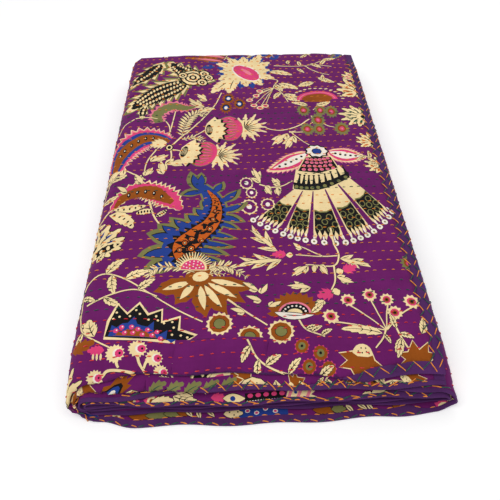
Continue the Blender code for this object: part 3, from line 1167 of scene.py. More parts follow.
def dotted_leaf(pen, length, width, bend, rows=2, edge=OLIVE):
    """A leaf of few large teeth, olive then cream, with cream dots on a black core."""
    teeth = max(int(length / 0.022), 3)
    pen.fill(edge, toothed(length, width, bend, teeth, 0.46))
    rim = pen.at(length * 0.03, 0.0)
    rim.fill(CREAM, toothed(length * 0.93, width * 0.80, bend, teeth, 0.42))
    core = pen.at(length * 0.10, 0.0)
    core.fill(BLACK, toothed(length * 0.80, width * 0.58, bend, teeth * 2, 0.16))
    shares = np.linspace(0.12, 0.84, max(int(length / 0.0125), 3))
    x, y, heading = bent(length * 0.80, bend, shares)
    for place, share in enumerate(shares):
        span = width * 0.145 * math.sin(math.pi * share**0.8) ** 0.6
        for side in (np.linspace(-1, 1, rows) if rows > 1 else (0.0,)):
            core.upright(CREAM, around(7, 0.0026, 0.0046), x[place] - side * span * math.sin(heading[place]),
                         y[place] + side * span * math.cos(heading[place]))


def thistle(pen, size):
    """A cream cup with a hatched foot, a striped pink bulb and a tuft of cream rays."""
    unit = pen.at(0.0, 0.0, 0.0, size)
    tuft = unit.at(0.90, 0.0)
    rays = ((-84, 0.50), (-60, 0.64), (-42, 0.60), (-22, 0.70), (-4, 0.66), (14, 0.70), (32, 0.66),
            (52, 0.70), (74, 0.60), (96, 0.44))
    for turn, reach in rays:
        tuft.at(0.0, 0.0, turn).fill(CREAM, toothed(reach, 0.17, 0.4 * np.sign(turn), 4, 0.36, 0.6))
    for turn, reach in rays[1:-1]:
        tuft.at(0.08, 0.0, turn + 8).fill(BLACK, blade(reach * 0.5, 0.030, 0.0, 3))
    unit.fill(OLIVE, around(18, 0.35, 0.50), 0.60, 0.0)
    unit.fill(PINK, around(18, 0.335, 0.475), 0.61, 0.0)
    for height in (-0.36, -0.25, -0.12, 0.0, 0.12, 0.25, 0.36):
        reach = 0.30 * math.sqrt(1 - (height / 0.475) ** 2)
        unit.fill(OLIVE, ribbon([(0.60 - reach, height), (0.62, height), (0.60 + reach * 0.8, height * 0.70)],
                                (0.030, 0.034, 0.010)))
        unit.fill(ROSE, ribbon([(0.60, height + 0.06), (0.60 + reach * 0.7, height * 0.8 + 0.05)],
                               (0.022, 0.008)))
    cup = np.array([(0.0, -0.14), (0.08, -0.28), (0.19, -0.44), (0.28, -0.54), (0.32, -0.38), (0.43, -0.40),
                    (0.41, -0.25), (0.51, -0.20), (0.45, -0.08), (0.54, 0.01), (0.45, 0.11), (0.50, 0.23),
                    (0.40, 0.26), (0.41, 0.41), (0.31, 0.40), (0.26, 0.54), (0.16, 0.42), (0.06, 0.28),
                    (0.0, 0.14)])
    unit.fill(BLACK, cup + (0.06, -0.02))
    unit.fill(CREAM, cup)
    unit.fill(BLACK, around(10, 0.085, 0.23), 0.10, 0.0)
    for x in (0.05, 0.085, 0.12, 0.15):
        unit.fill(CREAM, around(6, 0.008, 0.15), x, 0.01)


FAN_WAIST = ((0.079, 0.306), (0.098, 0.301), (0.120, 0.301), (0.148, 0.312), (0.178, 0.330))
FAN_HEM = (
    (0.012, 0.246), (0.034, 0.229), (0.058, 0.214), (0.080, 0.203), (0.106, 0.197), (0.140, 0.196),
    (0.166, 0.203), (0.190, 0.214), (0.212, 0.234), (0.230, 0.258))
FAN_RINGS = ((0.16, 0.60), (0.70, 0.60), (0.44, 0.70), (0.86, 0.76), (0.18, 0.82), (0.60, 0.86))


def fan_place(across, down):
    """A place of the fan's petals: shares from the left and from the waist to the hem."""
    across, down = np.broadcast_arrays(np.asarray(across, float), np.asarray(down, float))
    ends = []
    for points in (FAN_WAIST, FAN_HEM):
        line = smooth_line(points, 5)
        shares = np.linspace(0, 1, len(line))
        ends.append(np.stack([np.interp(across, shares, line[:, 0]),
                              np.interp(across, shares, line[:, 1])], -1))
    return ends[0] + (ends[1] - ends[0]) * down[..., None]


def fan_flower(pen):
    """A fan of five broad petals under a pleated and a beaded band, a rosette and two wings."""
    for root, tip, side in (((0.116, 0.402), (0.033, 0.352), 1), ((0.146, 0.404), (0.218, 0.384), 1)):
        wing, length = pen.towards(root, tip, -side if tip[0] < root[0] else side)
        wing.fill(ROSE, toothed(length, 0.046, 0.5, 12, 0.22))
        wing.at(0.002, 0.0).fill(CREAM, toothed(length * 0.96, 0.040, 0.5, 12, 0.16))
        wing.at(0.003, 0.0).fill(PINK, blade(length * 0.92, 0.032, 0.5, 9))
        wing.at(0.006, 0.0).fill(WHITE, blade(length * 0.80, 0.019, 0.5, 9))
        x, y, _ = bent(length * 0.80, 0.5, np.linspace(0.20, 0.82, 5))
        wing.at(0.006, 0.0).dots(BLACK, zip(x, y), 0.0027)
    for number in range(5):
        low, high = number / 5, (number + 1) / 5
        gap = np.array([0.009, 0.017, 0.019])
        inner = np.array([0.0, 0.5, 1.0])
        left = fan_place(low + gap, inner)
        right = fan_place(high - gap, inner)
        across = np.linspace(low + 0.019, high - 0.019, 13)
        flames = fan_place(across, np.where(np.arange(13) % 2, 1.07, 0.95))
        pen.fill(CREAM, np.concatenate([left, flames, right[::-1]]))
        across = np.linspace(low + 0.028, high - 0.028, 11)
        tips = fan_place(across, np.where(np.arange(11) % 2, 0.99, 0.88))
        top = fan_place(np.linspace(high - 0.026, low + 0.026, 4), np.array([0.46, 0.50, 0.50, 0.46]))
        pen.fill(OLIVE, np.concatenate([tips, top + (0.0, 0.0030)]))
        pen.fill(BLACK, np.concatenate([tips, top]))
        for aside, down in FAN_RINGS:
            x, y = fan_place(low + (high - low) * (0.16 + 0.72 * aside), down)
            pen.fill(OLIVE, around(9, 0.0054, 0.0070), x, y)
            pen.fill(BLACK, around(8, 0.0038, 0.0052), x, y)
    for share in np.linspace(0.012, 0.988, 20):
        start, end = fan_place(share, 0.98), fan_place(share, 1.12)
        pen.fill(WHITE, ribbon([start, end], 0.0024))
        pen.fill(BLACK, around(9, 0.0056, 0.0062), *end)
        pen.fill(WHITE, around(9, 0.0050, 0.0056), *end)
        pen.fill(OLIVE, around(7, 0.0020), *end)
    waist = fan_place(np.linspace(0, 1, 9), 0.0)
    pleats = np.concatenate([waist, [(0.163, 0.362), (0.126, 0.346), (0.088, 0.352)]])
    pen.fill(CREAM, grown(pleats, 0.0024))
    band = np.concatenate([waist, (waist + (0.0, 0.016))[::-1]])
    pen.fill(BLACK, band)
    for share in np.linspace(0.06, 0.94, 9):
        x, y = fan_place(share, 0.0)
        pen.fill(OLIVE, around(7, 0.0036, 0.0040), x, y + 0.006)
        rise = np.array([(0.0 + (0.126 - x) * 0.12), 0.036])
        pen.fill(BLACK, ribbon([(x + 0.004, y + 0.012), (x + 0.004 + rise[0], y + rise[1])],
                               (0.0066, 0.0016)))
        pen.fill(BLACK, around(6, 0.0024), x + 0.004 + rise[0], y + rise[1])
    neck = np.array([(0.107, 0.386), (0.090, 0.350), (0.126, 0.343), (0.161, 0.358), (0.152, 0.388)])
    pen.fill(CREAM, grown(neck, 0.0026))
    pen.fill(BLACK, neck)
    for row in range(4):
        for column in range(6):
            share = (column + 0.5 + 0.25 * (row % 2)) / 6.4
            x = blend(0.106 - row * 0.0045, 0.153 + row * 0.0022, share)
            y = 0.382 - row * 0.0092 - 0.004 * math.sin(math.pi * share) + 0.004 * share
            pen.fill(ROSE, around(7, 0.0038, 0.0036), x, y)
            pen.fill(PINK, around(5, 0.0020, 0.0018), x + 0.0008, y)
    rosette = pen.at(0.129, 0.404)
    rosette.fill(BLACK, spiky(9, 0.0235, 0.0200, 0.86))
    rosette.fill(WHITE, spiky(9, 0.0200, 0.0165, 0.86))
    rosette.fill(BLACK, around(8, 0.0096, 0.0090))
    rosette.fill(BLUE, around(8, 0.0080, 0.0074))


FAN_PETALS = (
    ((-0.138, 0.100), 0.030), ((-0.108, 0.082), 0.030), ((-0.066, 0.058), 0.030),
    ((-0.038, 0.060), 0.028), ((-0.014, 0.078), 0.028), ((0.000, 0.101), 0.026))


def petal_fan(pen):
    """Cream petals on rust below a pink dotted dome with cream rays."""
    root = (-0.077, 0.122)
    for tip, width in FAN_PETALS:
        petal, length = pen.towards(root, tip)
        petal.fill(RUST, rough(blade(length * 1.04, width * 0.88, 0.1, 9, 0.56), 0.0020))
    for tip, width in FAN_PETALS:
        petal, length = pen.towards(root, tip)
        petal.at(length * 0.20, 0.0).fill(CREAM, blade(length * 0.66, width * 0.36, 0.1, 6, 0.46))
    pen.fill(RUST, around(12, 0.021, 0.020), -0.077, 0.127)
    dome = pen.at(-0.087, 0.140, -6)
    fern(pen, [(-0.084, 0.134), (-0.112, 0.144), (-0.138, 0.142), (-0.150, 0.132), (-0.144, 0.120)],
         0.026, 15)
    fern(pen, [(-0.066, 0.136), (-0.048, 0.142), (-0.030, 0.138), (-0.006, 0.120)], 0.030, 12)
    fern(pen, [(-0.064, 0.128), (-0.052, 0.130), (-0.040, 0.126)], 0.020, 4)
    for angle in np.linspace(16, 164, 17):
        direction = np.array([math.cos(math.radians(angle)), math.sin(math.radians(angle)) * 1.08])
        dome.fill(BLACK, ribbon([direction * 0.014, direction * 0.0305], (0.0050, 0.0024)))
        dome.fill(CREAM, ribbon([direction * 0.014, direction * 0.0296], (0.0030, 0.0012)))
    dome.fill(CREAM, around(12, 0.0210, 0.0200, -8, 196))
    dome.fill(PINK, around(12, 0.0180, 0.0170, -4, 188))
    for row, reach in enumerate((0.005, 0.010, 0.0150)):
        for angle in np.linspace(18, 162, 3 + 2 * row):
            dome.fill(WHITE, around(5, 0.0013), reach * math.cos(math.radians(angle)),
                      reach * 0.95 * math.sin(math.radians(angle)))
    pen.fill(CREAM, around(12, 0.0120, 0.0090), -0.075, 0.125)


def zigzag_shape(points, depth):
    """A closed shape whose upper edge has a small tooth between each pair of corners."""
    shape = []
    for start, end in zip(points, points[1:]):
        middle = ((start[0] + end[0]) / 2, (start[1] + end[1]) / 2 - depth)
        shape += [start, middle]
    return np.array(shape + [points[-1]])


def berry_leaf(pen):
    """A zigzag leaf, cream, black with cream dots, then blue, over pink berries on rust."""
    crown = np.array([
        (-0.046, 0.000), (-0.044, 0.024), (-0.037, 0.050), (-0.022, 0.034), (-0.008, 0.052), (0.006, 0.034),
        (0.024, 0.044), (0.026, 0.024), (0.050, 0.034), (0.050, 0.014), (0.074, 0.005), (0.060, -0.002)])
    pen.fill(CREAM, grown(crown, 0.0040))
    pen.fill(BLACK, crown)
    blue = zigzag_shape([(-0.042, 0.001), (-0.040, 0.018), (-0.026, 0.020), (-0.012, 0.032), (0.000, 0.018),
                         (0.016, 0.026), (0.018, 0.010), (0.036, 0.014), (0.036, 0.000), (0.050, 0.000)],
                        0.005)
    pen.fill(BLUE, blue)
    rust = zigzag_shape([(-0.036, 0.002), (-0.030, 0.008), (-0.018, 0.012), (-0.006, 0.016), (0.006, 0.010),
                         (0.018, 0.010), (0.026, 0.000), (0.036, 0.000)], 0.004)
    pen.fill(RUST, rust)
    for x, y in ((-0.040, 0.028), (-0.037, 0.038), (-0.032, 0.031), (-0.018, 0.032), (-0.011, 0.042),
                 (-0.005, 0.036), (0.008, 0.028), (0.018, 0.034), (0.021, 0.028), (0.030, 0.024),
                 (0.041, 0.027), (0.044, 0.018), (0.043, 0.007), (0.055, 0.006), (0.064, 0.003),
                 (0.054, -0.004)):
        pen.fill(CREAM, around(6, 0.0018), x, y)
    for x, y in ((-0.033, 0.009), (-0.026, 0.014), (-0.021, 0.006), (-0.013, 0.015), (-0.010, 0.006),
                 (-0.004, 0.012), (0.003, 0.004), (0.009, 0.012), (0.016, 0.004), (0.022, 0.010),
                 (0.028, 0.000)):
        pen.fill(PINK, around(8, 0.0036), x, y)
        pen.fill(WHITE, around(5, 0.0012), x + 0.0009, y + 0.0009)


def sun_flower(pen, rx, ry):
    """A cream flower of ragged petals with a blue fringe and a slanted pink oval."""
    pen.fill(BLUE, spiky(15, rx * 1.18, rx * 0.92, ry / rx, 6))
    for number, turn in enumerate(range(0, 360, 30)):
        direction = math.radians(turn + 10)
        reach = math.hypot(rx * math.cos(direction), ry * math.sin(direction)) * (1.02 + 0.14 * (number % 3))
        petal = pen.at(0.0, 0.0, turn + 10)
        petal.fill(CREAM, toothed(reach, rx * 0.54, 0.2, 6, 0.24, 0.9))
        petal.at(reach * 0.66, 0.0).fill(RUST, blade(reach * 0.18, 0.0016, 0.0, 3))
    oval = pen.at(0.004, -0.007, -44)
    oval.fill(WHITE, around(16, rx * 0.74, rx * 0.44))
    oval.fill(PINK, around(16, rx * 0.68, rx * 0.38))
    oval.fill(ROSE, around(9, rx * 0.34, rx * 0.10), -0.002, 0.003)


def side_daisy(pen, radius):
    """A spiky cream flower with its pink eye towards one side."""
    pen.fill(CREAM, spiky(15, radius * 1.25, radius * 0.98, 0.88))
    pen.fill(WHITE, around(9, radius * 0.62, radius * 0.56), radius * 0.30, 0.0)
    pen.fill(PINK, around(9, radius * 0.54, radius * 0.48), radius * 0.50, 0.0)
    pen.fill(BLACK, around(6, radius * 0.16), radius * 0.58, 0.0)


def rising_sun(pen, radius):
    """Half a rust disc under a pink arc and an arch of cream dashes."""
    pen.fill(PINK, around(14, radius, radius * 0.72, 0, 180))
    pen.fill(ROSE, np.concatenate([around(12, radius * 0.90, radius * 0.62, 4, 172),
                                   around(12, radius * 0.84, radius * 0.56, 4, 172)[::-1]]))
    pen.fill(RUST, np.concatenate([around(10, radius * 0.76, radius * 0.48, 0, 180),
                                   around(6, radius * 0.70, radius * 0.22, 180, 180)]))
    for angle in np.linspace(4, 176, 15):
        turn = math.radians(angle)
        dash = pen.at(radius * 1.26 * math.cos(turn), radius * 0.95 * math.sin(turn), 8)
        dash.fill(CREAM, around(6, 0.0042, 0.0018))


def calyx_fan(pen, size):
    """A spiky rust fan over a pink and black arc with white beads, on a cream calyx."""
    unit = pen.at(0.0, 0.0, 0.0, size)
    rays = around(26, 1.08, 1.02, -8, 196)
    rays[::2] *= 0.84
    unit.fill(RUST, rays)
    unit.fill(ROSE, around(12, 0.64, 0.52, 0, 180))
    unit.fill(BLACK, around(12, 0.56, 0.44, 0, 180))
    for angle in np.linspace(14, 166, 8):
        unit.fill(WHITE, around(6, 0.045), 0.44 * math.cos(math.radians(angle)),
                  0.33 * math.sin(math.radians(angle)))
    unit.fill(CREAM, around(8, 0.30, 0.20, 0, 180))
    unit.at(-0.78, 0.06, -6).lined(WHITE, blade(1.56, 0.30, 0.6, 8), BLACK, width=0.03)
    unit.at(-0.4, -0.04, -4).fill(BLACK, blade(0.8, 0.05, 0.3, 4))


def lobed_leaf(pen, size):
    """A rust leaf of pointed lobes under a cream cap with dark dots."""
    unit = pen.at(0.0, 0.0, 0.0, size)
    lobes = [(-0.35, 0.30), (-1.0, 0.10), (-0.62, -0.10), (-0.95, -0.42), (-0.45, -0.38), (-0.10, -0.85),
             (0.12, -0.42), (0.62, -0.72), (0.52, -0.30), (0.98, -0.20), (0.55, 0.05), (0.42, 0.34)]
    unit.fill(CREAM, grown(np.array(lobes), 0.05))
    unit.fill(RUST, lobes)
    unit.fill(CREAM, np.concatenate([around(8, 0.44, 0.42, 0, 180) + (0.02, 0.24),
                                     [(-0.2, 0.14), (0.25, 0.16)]]))
    unit.dots(BLACK, [(-0.18, 0.34), (0.0, 0.30), (0.18, 0.36), (-0.06, 0.48), (0.14, 0.50), (0.3, 0.3)],
              0.035)


def berries(pen, root, places):
    """Pink buds with cream rims, on cream stalks."""
    for x, y in places:
        middle = ((root[0] + x) / 2, (root[1] + y) / 2 + 0.004)
        stem(pen, [root, middle, (x, y)], 0.0018)
    for x, y in places:
        pen.fill(CREAM, around(9, 0.0072, 0.0058), x, y)
        pen.fill(PINK, around(8, 0.0048, 0.0036), x, y)
        pen.fill(RUST, around(6, 0.0022, 0.0014), x, y)


def ragged_flower(pen, size, core=PINK):
    """A cream flower seen from the side, with a stripe of colour in each petal."""
    for turn, reach in zip((-78, -50, -24, 0, 24, 50, 78), (0.7, 0.85, 0.95, 1.0, 0.95, 0.85, 0.7)):
        petal = pen.at(0.0, 0.0, turn, size)
        petal.lined(CREAM, toothed(reach, 0.34, 0.2, 4, 0.25), BLACK, width=0.03)
        petal.at(0.2, 0.0).fill(core, blade(reach * 0.5, 0.10, 0.1, 4))
    pen.at(0.0, 0.0, 0.0, size).fill(CREAM, around(9, 0.26, 0.24))
    pen.at(0.0, 0.0, 0.0, size).fill(BLACK, around(7, 0.12, 0.11))


# The print's layout, in flat places: across and to the back

Spot = namedtuple("Spot", "x y size")
Leaf = namedtuple("Leaf", "x y turn length width bend")

RUST_DAISIES = (Spot(-0.031, 0.574, 0.0145), Spot(-0.009, 0.556, 0.0140), Spot(-0.036, 0.543, 0.0140))
OLIVE_DAISIES = (
    Spot(0.118, 0.530, 0.0145), Spot(0.151, 0.529, 0.0130), Spot(0.173, 0.525, 0.0145),
    Spot(0.143, 0.498, 0.0155), Spot(0.119, 0.469, 0.0145), Spot(0.142, 0.469, 0.0130),
    Spot(0.186, 0.470, 0.0160),
)
PINK_DAISIES = (
    Spot(0.134, 0.077, 0.0112), Spot(0.166, 0.085, 0.0112), Spot(0.189, 0.075, 0.0105),
    Spot(0.106, 0.049, 0.0120), Spot(0.196, 0.053, 0.0115), Spot(0.224, 0.071, 0.0125),
)
SIDE_DAISIES = (
    Spot(-0.184, 0.005, 0.0105), Spot(-0.155, 0.010, 0.0105), Spot(-0.133, -0.001, 0.0095),
    Spot(-0.096, -0.009, 0.0110), Spot(-0.124, -0.017, 0.0080), Spot(-0.209, -0.021, 0.0090),
)
SMALL_DAISIES = (
    Spot(0.062, 0.007, 0.0105), Spot(0.086, -0.003, 0.0110), Spot(0.070, -0.018, 0.0105),
    Spot(0.096, -0.021, 0.0105),
)
RING_DAISIES = (
    Spot(-0.002, 0.322, 0.0125), Spot(0.006, 0.299, 0.0105), Spot(0.001, 0.266, 0.0150),
    Spot(0.032, 0.272, 0.0125),
)
LARGE_DAISIES = (Spot(-0.047, 0.043, 0.0190), Spot(0.036, 0.030, 0.0190), Spot(-0.006, 0.022, 0.0180))

SPRIG_LEAVES = (
    Leaf(0.075, 0.628, -30, 0.046, 0.018, -0.3),
    Leaf(0.058, 0.675, -18, 0.052, 0.018, -0.5), Leaf(0.150, 0.628, -160, 0.036, 0.018, 0.4),
    Leaf(0.128, 0.546, 160, 0.034, 0.014, 0.5),
    Leaf(0.146, 0.546, 24, 0.032, 0.014, 0.5),
    Leaf(-0.232, 0.160, 60, 0.020, 0.010, 0.4),
    Leaf(0.080, 0.056, 40, 0.024, 0.010, 0.3),
    Leaf(0.172, 0.022, 172, 0.056, 0.016, 0.6),
    Leaf(0.192, 0.028, 100, 0.024, 0.009, 0.3), Leaf(0.196, 0.012, 250, 0.024, 0.010, -0.3),
    Leaf(0.232, 0.040, 20, 0.022, 0.009, 0.3), Leaf(-0.214, 0.030, 110, 0.030, 0.020, -0.6),
    Leaf(0.172, 0.700, 60, 0.030, 0.011, 0.3), Leaf(0.128, 0.700, 100, 0.020, 0.010, 0.2),
    Leaf(0.100, 0.706, 80, 0.018, 0.010, 0.2), Leaf(0.150, 0.706, -40, 0.030, 0.011, -0.3),
    Leaf(0.180, 0.722, 10, 0.030, 0.011, 0.3), Leaf(0.120, 0.688, -55, 0.024, 0.010, 0.2),
    Leaf(0.160, 0.648, -32, 0.040, 0.015, 0.3), Leaf(0.168, 0.636, 80, 0.022, 0.010, 0.3),
)


def back_of_top(pen):
    """The motifs at the far end of the top face."""
    dotted_leaf(pen.towards((-0.172, 0.728), (-0.240, 0.622), -1)[0], 0.124, 0.060, 0.4, 1)
    dotted_leaf(pen.towards((-0.056, 0.640), (-0.170, 0.732), -1)[0], 0.146, 0.078, 0.9, 2)
    dotted_leaf(pen.towards((-0.104, 0.650), (-0.236, 0.534))[0], 0.176, 0.104, 0.35, 3)
    dotted_leaf(pen.towards((-0.196, 0.560), (-0.200, 0.508))[0], 0.052, 0.026, 0.4, 1)
    knot = pen.at(-0.106, 0.654, 30)
    knot.fill(OLIVE, spiky(11, 0.034, 0.026, 1.1))
    for share, colour in ((0.028, BLACK), (0.024, CREAM), (0.018, BLACK), (0.014, CREAM), (0.008, BLACK),
                          (0.004, CREAM)):
        knot.fill(colour, around(12, share, share * 1.15))
    for x, y, size in ((-0.082, 0.668, 0.012), (-0.086, 0.636, 0.012), (-0.128, 0.664, 0.011),
                       (-0.072, 0.654, 0.010)):
        eye = pen.at(x, y, 30)
        eye.fill(BLACK, spiky(8, size * 1.1, size * 0.9, 1.3))
        eye.fill(CREAM, around(9, size * 0.80, size * 0.96))
        eye.fill(BLACK, around(8, size * 0.44, size * 0.54))
        eye.fill(CREAM, around(6, size * 0.20, size * 0.24))
    arched_band(pen, [(-0.166, 0.500), (-0.171, 0.526), (-0.145, 0.552), (-0.118, 0.548), (-0.092, 0.552)],
                (0.026, 0.032, 0.034, 0.026, 0.006), ((1.0, ROSE, 0.26), (0.66, OLIVE, 0.12)))
    sun_flower(pen.at(0.005, 0.681, -8), 0.054, 0.062)
    for x, y, turn in ((0.046, 0.742, 60), (0.062, 0.728, 40), (0.030, 0.748, 80), (-0.052, 0.714, 150),
                       (-0.058, 0.700, 190)):
        pen.at(x, y, turn).fill(BLUE, toothed(0.030, 0.022, 0.2, 4, 0.3))
    for start, end in (((-0.040, 0.722), (-0.128, 0.742)), ((-0.036, 0.740), (-0.110, 0.756))):
        line, length = pen.towards(start, end)
        line.fill(RUST, toothed(length, 0.024, 0.2, 6, 0.4))
        line.fill(ROSE, blade(length * 0.8, 0.008, 0.2, 5))
    for root, tip in (((-0.021, 0.648), (-0.066, 0.596)), ((-0.018, 0.648), (-0.030, 0.594))):
        leaf, length = pen.towards(root, tip)
        leaf.fill(CREAM, toothed(length, 0.030, 0.3, 6, 0.22))
        leaf.at(0.004, 0.0).fill(BLACK, blade(length * 0.7, 0.0022, 0.3, 4))
    for spot in RUST_DAISIES:
        daisy(pen.at(spot.x, spot.y), spot.size, RUST_DAISY, 14, 0.30)
    berries(pen, (0.064, 0.612), (
        (0.034, 0.602), (0.026, 0.585), (0.012, 0.569), (0.020, 0.550), (0.043, 0.548), (0.032, 0.541)))
    leafy_stem(pen, [(0.052, 0.650), (0.074, 0.640), (0.064, 0.616), (0.078, 0.596), (0.090, 0.560)],
               ((0.45, 1), (0.62, 1), (0.78, -1), (0.95, 1), (0.86, 1)), 0.030)
    stem(pen, [(0.070, 0.700), (0.110, 0.696), (0.160, 0.700), (0.196, 0.690)], 0.0026)
    stem(pen, [(0.138, 0.697), (0.160, 0.670), (0.186, 0.656)], 0.0022)
    stem(pen, [(0.154, 0.700), (0.176, 0.716), (0.190, 0.728)], 0.0022)
    rising_sun(pen.at(0.150, 0.566), 0.042)
    stem(pen, [(0.149, 0.552), (0.145, 0.540), (0.137, 0.530)], 0.0030)


def middle_of_top(pen):
    """The motifs across the middle of the top face."""
    stem(pen, [(0.126, 0.500), (0.098, 0.476), (0.070, 0.466), (0.048, 0.470), (0.030, 0.482)], 0.0028)
    stem(pen, [(0.096, 0.462), (0.084, 0.458), (0.112, 0.460), (0.126, 0.470)], 0.0024)
    stem(pen, [(0.084, 0.462), (0.100, 0.440), (0.122, 0.416)], 0.0024)
    stem(pen, [(0.150, 0.490), (0.160, 0.480), (0.172, 0.476)], 0.0022)
    stem(pen, [(0.131, 0.512), (0.134, 0.496), (0.126, 0.484)], 0.0024)
    spray(pen, (0.080, 0.456), (0.048, 0.420), 3, 0.012)
    spray(pen, (0.090, 0.448), (0.072, 0.408), 3, 0.011)
    for spot in OLIVE_DAISIES:
        daisy(pen.at(spot.x, spot.y), spot.size, OLIVE_DAISY, 13, 0.26)
    stem(pen, [(-0.142, 0.420), (-0.121, 0.454), (-0.098, 0.484), (-0.077, 0.518), (-0.057, 0.556),
               (-0.045, 0.597)], 0.0032)
    stem(pen, [(-0.118, 0.448), (-0.096, 0.456), (-0.076, 0.474)], 0.0030)
    stem(pen, [(-0.138, 0.417), (-0.126, 0.416), (-0.114, 0.411)], 0.0030)
    stem(pen, [(-0.146, 0.442), (-0.142, 0.478), (-0.136, 0.536)], 0.0030)
    stem(pen, [(-0.142, 0.470), (-0.146, 0.490), (-0.156, 0.508)], 0.0028)
    stem(pen, [(-0.138, 0.418), (-0.136, 0.391), (-0.150, 0.356)], 0.0030)
    stem(pen, [(-0.164, 0.418), (-0.178, 0.384), (-0.180, 0.346)], 0.0028)
    stem(pen, [(-0.218, 0.366), (-0.196, 0.350), (-0.176, 0.336)], 0.0028)
    stem(pen, [(-0.212, 0.512), (-0.190, 0.516), (-0.170, 0.512)], 0.0028)
    stem(pen, [(-0.240, 0.470), (-0.232, 0.492), (-0.214, 0.510)], 0.0028)
    fern(pen, [(-0.120, 0.455), (-0.117, 0.480), (-0.113, 0.501), (-0.104, 0.521), (-0.092, 0.527),
               (-0.077, 0.522)],
         0.040, 15)
    fern(pen, [(-0.119, 0.446), (-0.101, 0.453), (-0.088, 0.450), (-0.077, 0.440)], 0.024, 8)
    spray(pen, (-0.172, 0.384), (-0.140, 0.402), 3, 0.012)
    spray(pen, (-0.146, 0.376), (-0.104, 0.386), 3, 0.012)
    spray(pen, (-0.146, 0.350), (-0.154, 0.386), 3, 0.012)
    spray(pen, (-0.178, 0.346), (-0.166, 0.368), 3, 0.010)
    spray(pen, (-0.216, 0.372), (-0.246, 0.326), 3, 0.012)
    spray(pen, (-0.092, 0.532), (-0.062, 0.546), 4, 0.009)
    spray(pen, (-0.078, 0.548), (-0.112, 0.574), 4, 0.009)
    spray(pen, (-0.074, 0.570), (-0.096, 0.596), 3, 0.009)
    thistle(pen.towards((-0.076, 0.474), (0.010, 0.478))[0], 0.076)
    thistle(pen.towards((-0.120, 0.413), (-0.044, 0.396))[0], 0.072)
    arched_band(pen, [(-0.142, 0.440), (-0.166, 0.450), (-0.190, 0.450), (-0.211, 0.432), (-0.226, 0.402),
                      (-0.231, 0.362)],
                (0.030, 0.052, 0.066, 0.060, 0.050, 0.026),
                ((1.0, CREAM, 0.16), (0.92, ROSE, 0.16), (0.78, PINK, 0.06), (0.62, BLUE, 0.0),
                 (0.36, RUST, 0.0)),
                (0.26, 0.38, 0.50, 0.61, 0.72, 0.82))
    pen.at(-0.146, 0.438, 196).lined(CREAM, toothed(0.032, 0.034, 0.2, 5, 0.4, 0.6), BLACK)
    daisy(pen.at(-0.141, 0.423), 0.0085, ((1.0, BLACK), (0.66, CREAM), (0.4, BLACK)), 9, 0.2)
    arched_band(pen, [(-0.226, 0.262), (-0.206, 0.302), (-0.182, 0.312), (-0.156, 0.303), (-0.134, 0.289),
                      (-0.110, 0.262)],
                (0.006, 0.028, 0.038, 0.050, 0.050, 0.008), ((1.0, CREAM, 0.20), (0.82, PINK, 0.16)))
    arched_band(pen, [(-0.220, 0.272), (-0.206, 0.295), (-0.183, 0.305), (-0.158, 0.301), (-0.126, 0.279)],
                (0.004, 0.018, 0.026, 0.034, 0.010), ((1.0, RUST, 0.06),), (0.34, 0.48, 0.62, 0.76, 0.88))
    spray(pen, (-0.180, 0.326), (-0.196, 0.352), 3, 0.011)
    spray(pen, (-0.204, 0.306), (-0.222, 0.322), 2, 0.010)
    stem(pen, [(-0.250, 0.226), (-0.236, 0.250), (-0.222, 0.268)], 0.0034)
    stem(pen, [(-0.164, 0.280), (-0.152, 0.244), (-0.131, 0.214)], 0.0034)
    for root, tip, width, bend in (
            ((-0.222, 0.268), (-0.168, 0.272), 0.018, 0.4), ((-0.226, 0.256), (-0.184, 0.222), 0.024, -1.1),
            ((-0.156, 0.258), (-0.184, 0.256), 0.013, 0.5), ((-0.150, 0.246), (-0.134, 0.262), 0.010, 0.2)):
        leaf, length = pen.towards(root, tip)
        leaf.lined(CREAM, toothed(length, width, bend, 5, 0.16), BLACK)
        x, y, _ = bent(length, bend, np.linspace(0.15, 0.85, 5))
        leaf.dots(BLACK, zip(x, y), 0.0016, 0.0030)
    leafy_stem(pen, [(-0.262, 0.212), (-0.248, 0.262), (-0.240, 0.310), (-0.234, 0.350)],
               ((0.15, -1), (0.35, 1), (0.55, -1), (0.75, 1), (0.92, -1)), 0.030)
    fan_flower(pen)
    for spot in RING_DAISIES:
        daisy(pen.at(spot.x, spot.y), spot.size, RING_DAISY, 12, 0.16)
    stem(pen, [(0.020, 0.320), (0.040, 0.312), (0.060, 0.314), (0.078, 0.326)], 0.0028)
    for root, tip in (((0.022, 0.322), (0.010, 0.362)), ((0.056, 0.314), (0.042, 0.336)),
                      ((0.050, 0.312), (0.052, 0.290)), ((0.030, 0.316), (0.040, 0.294))):
        spray(pen, root, tip, 3, 0.009)
    flame_leaf(pen)
    petal_fan(pen)


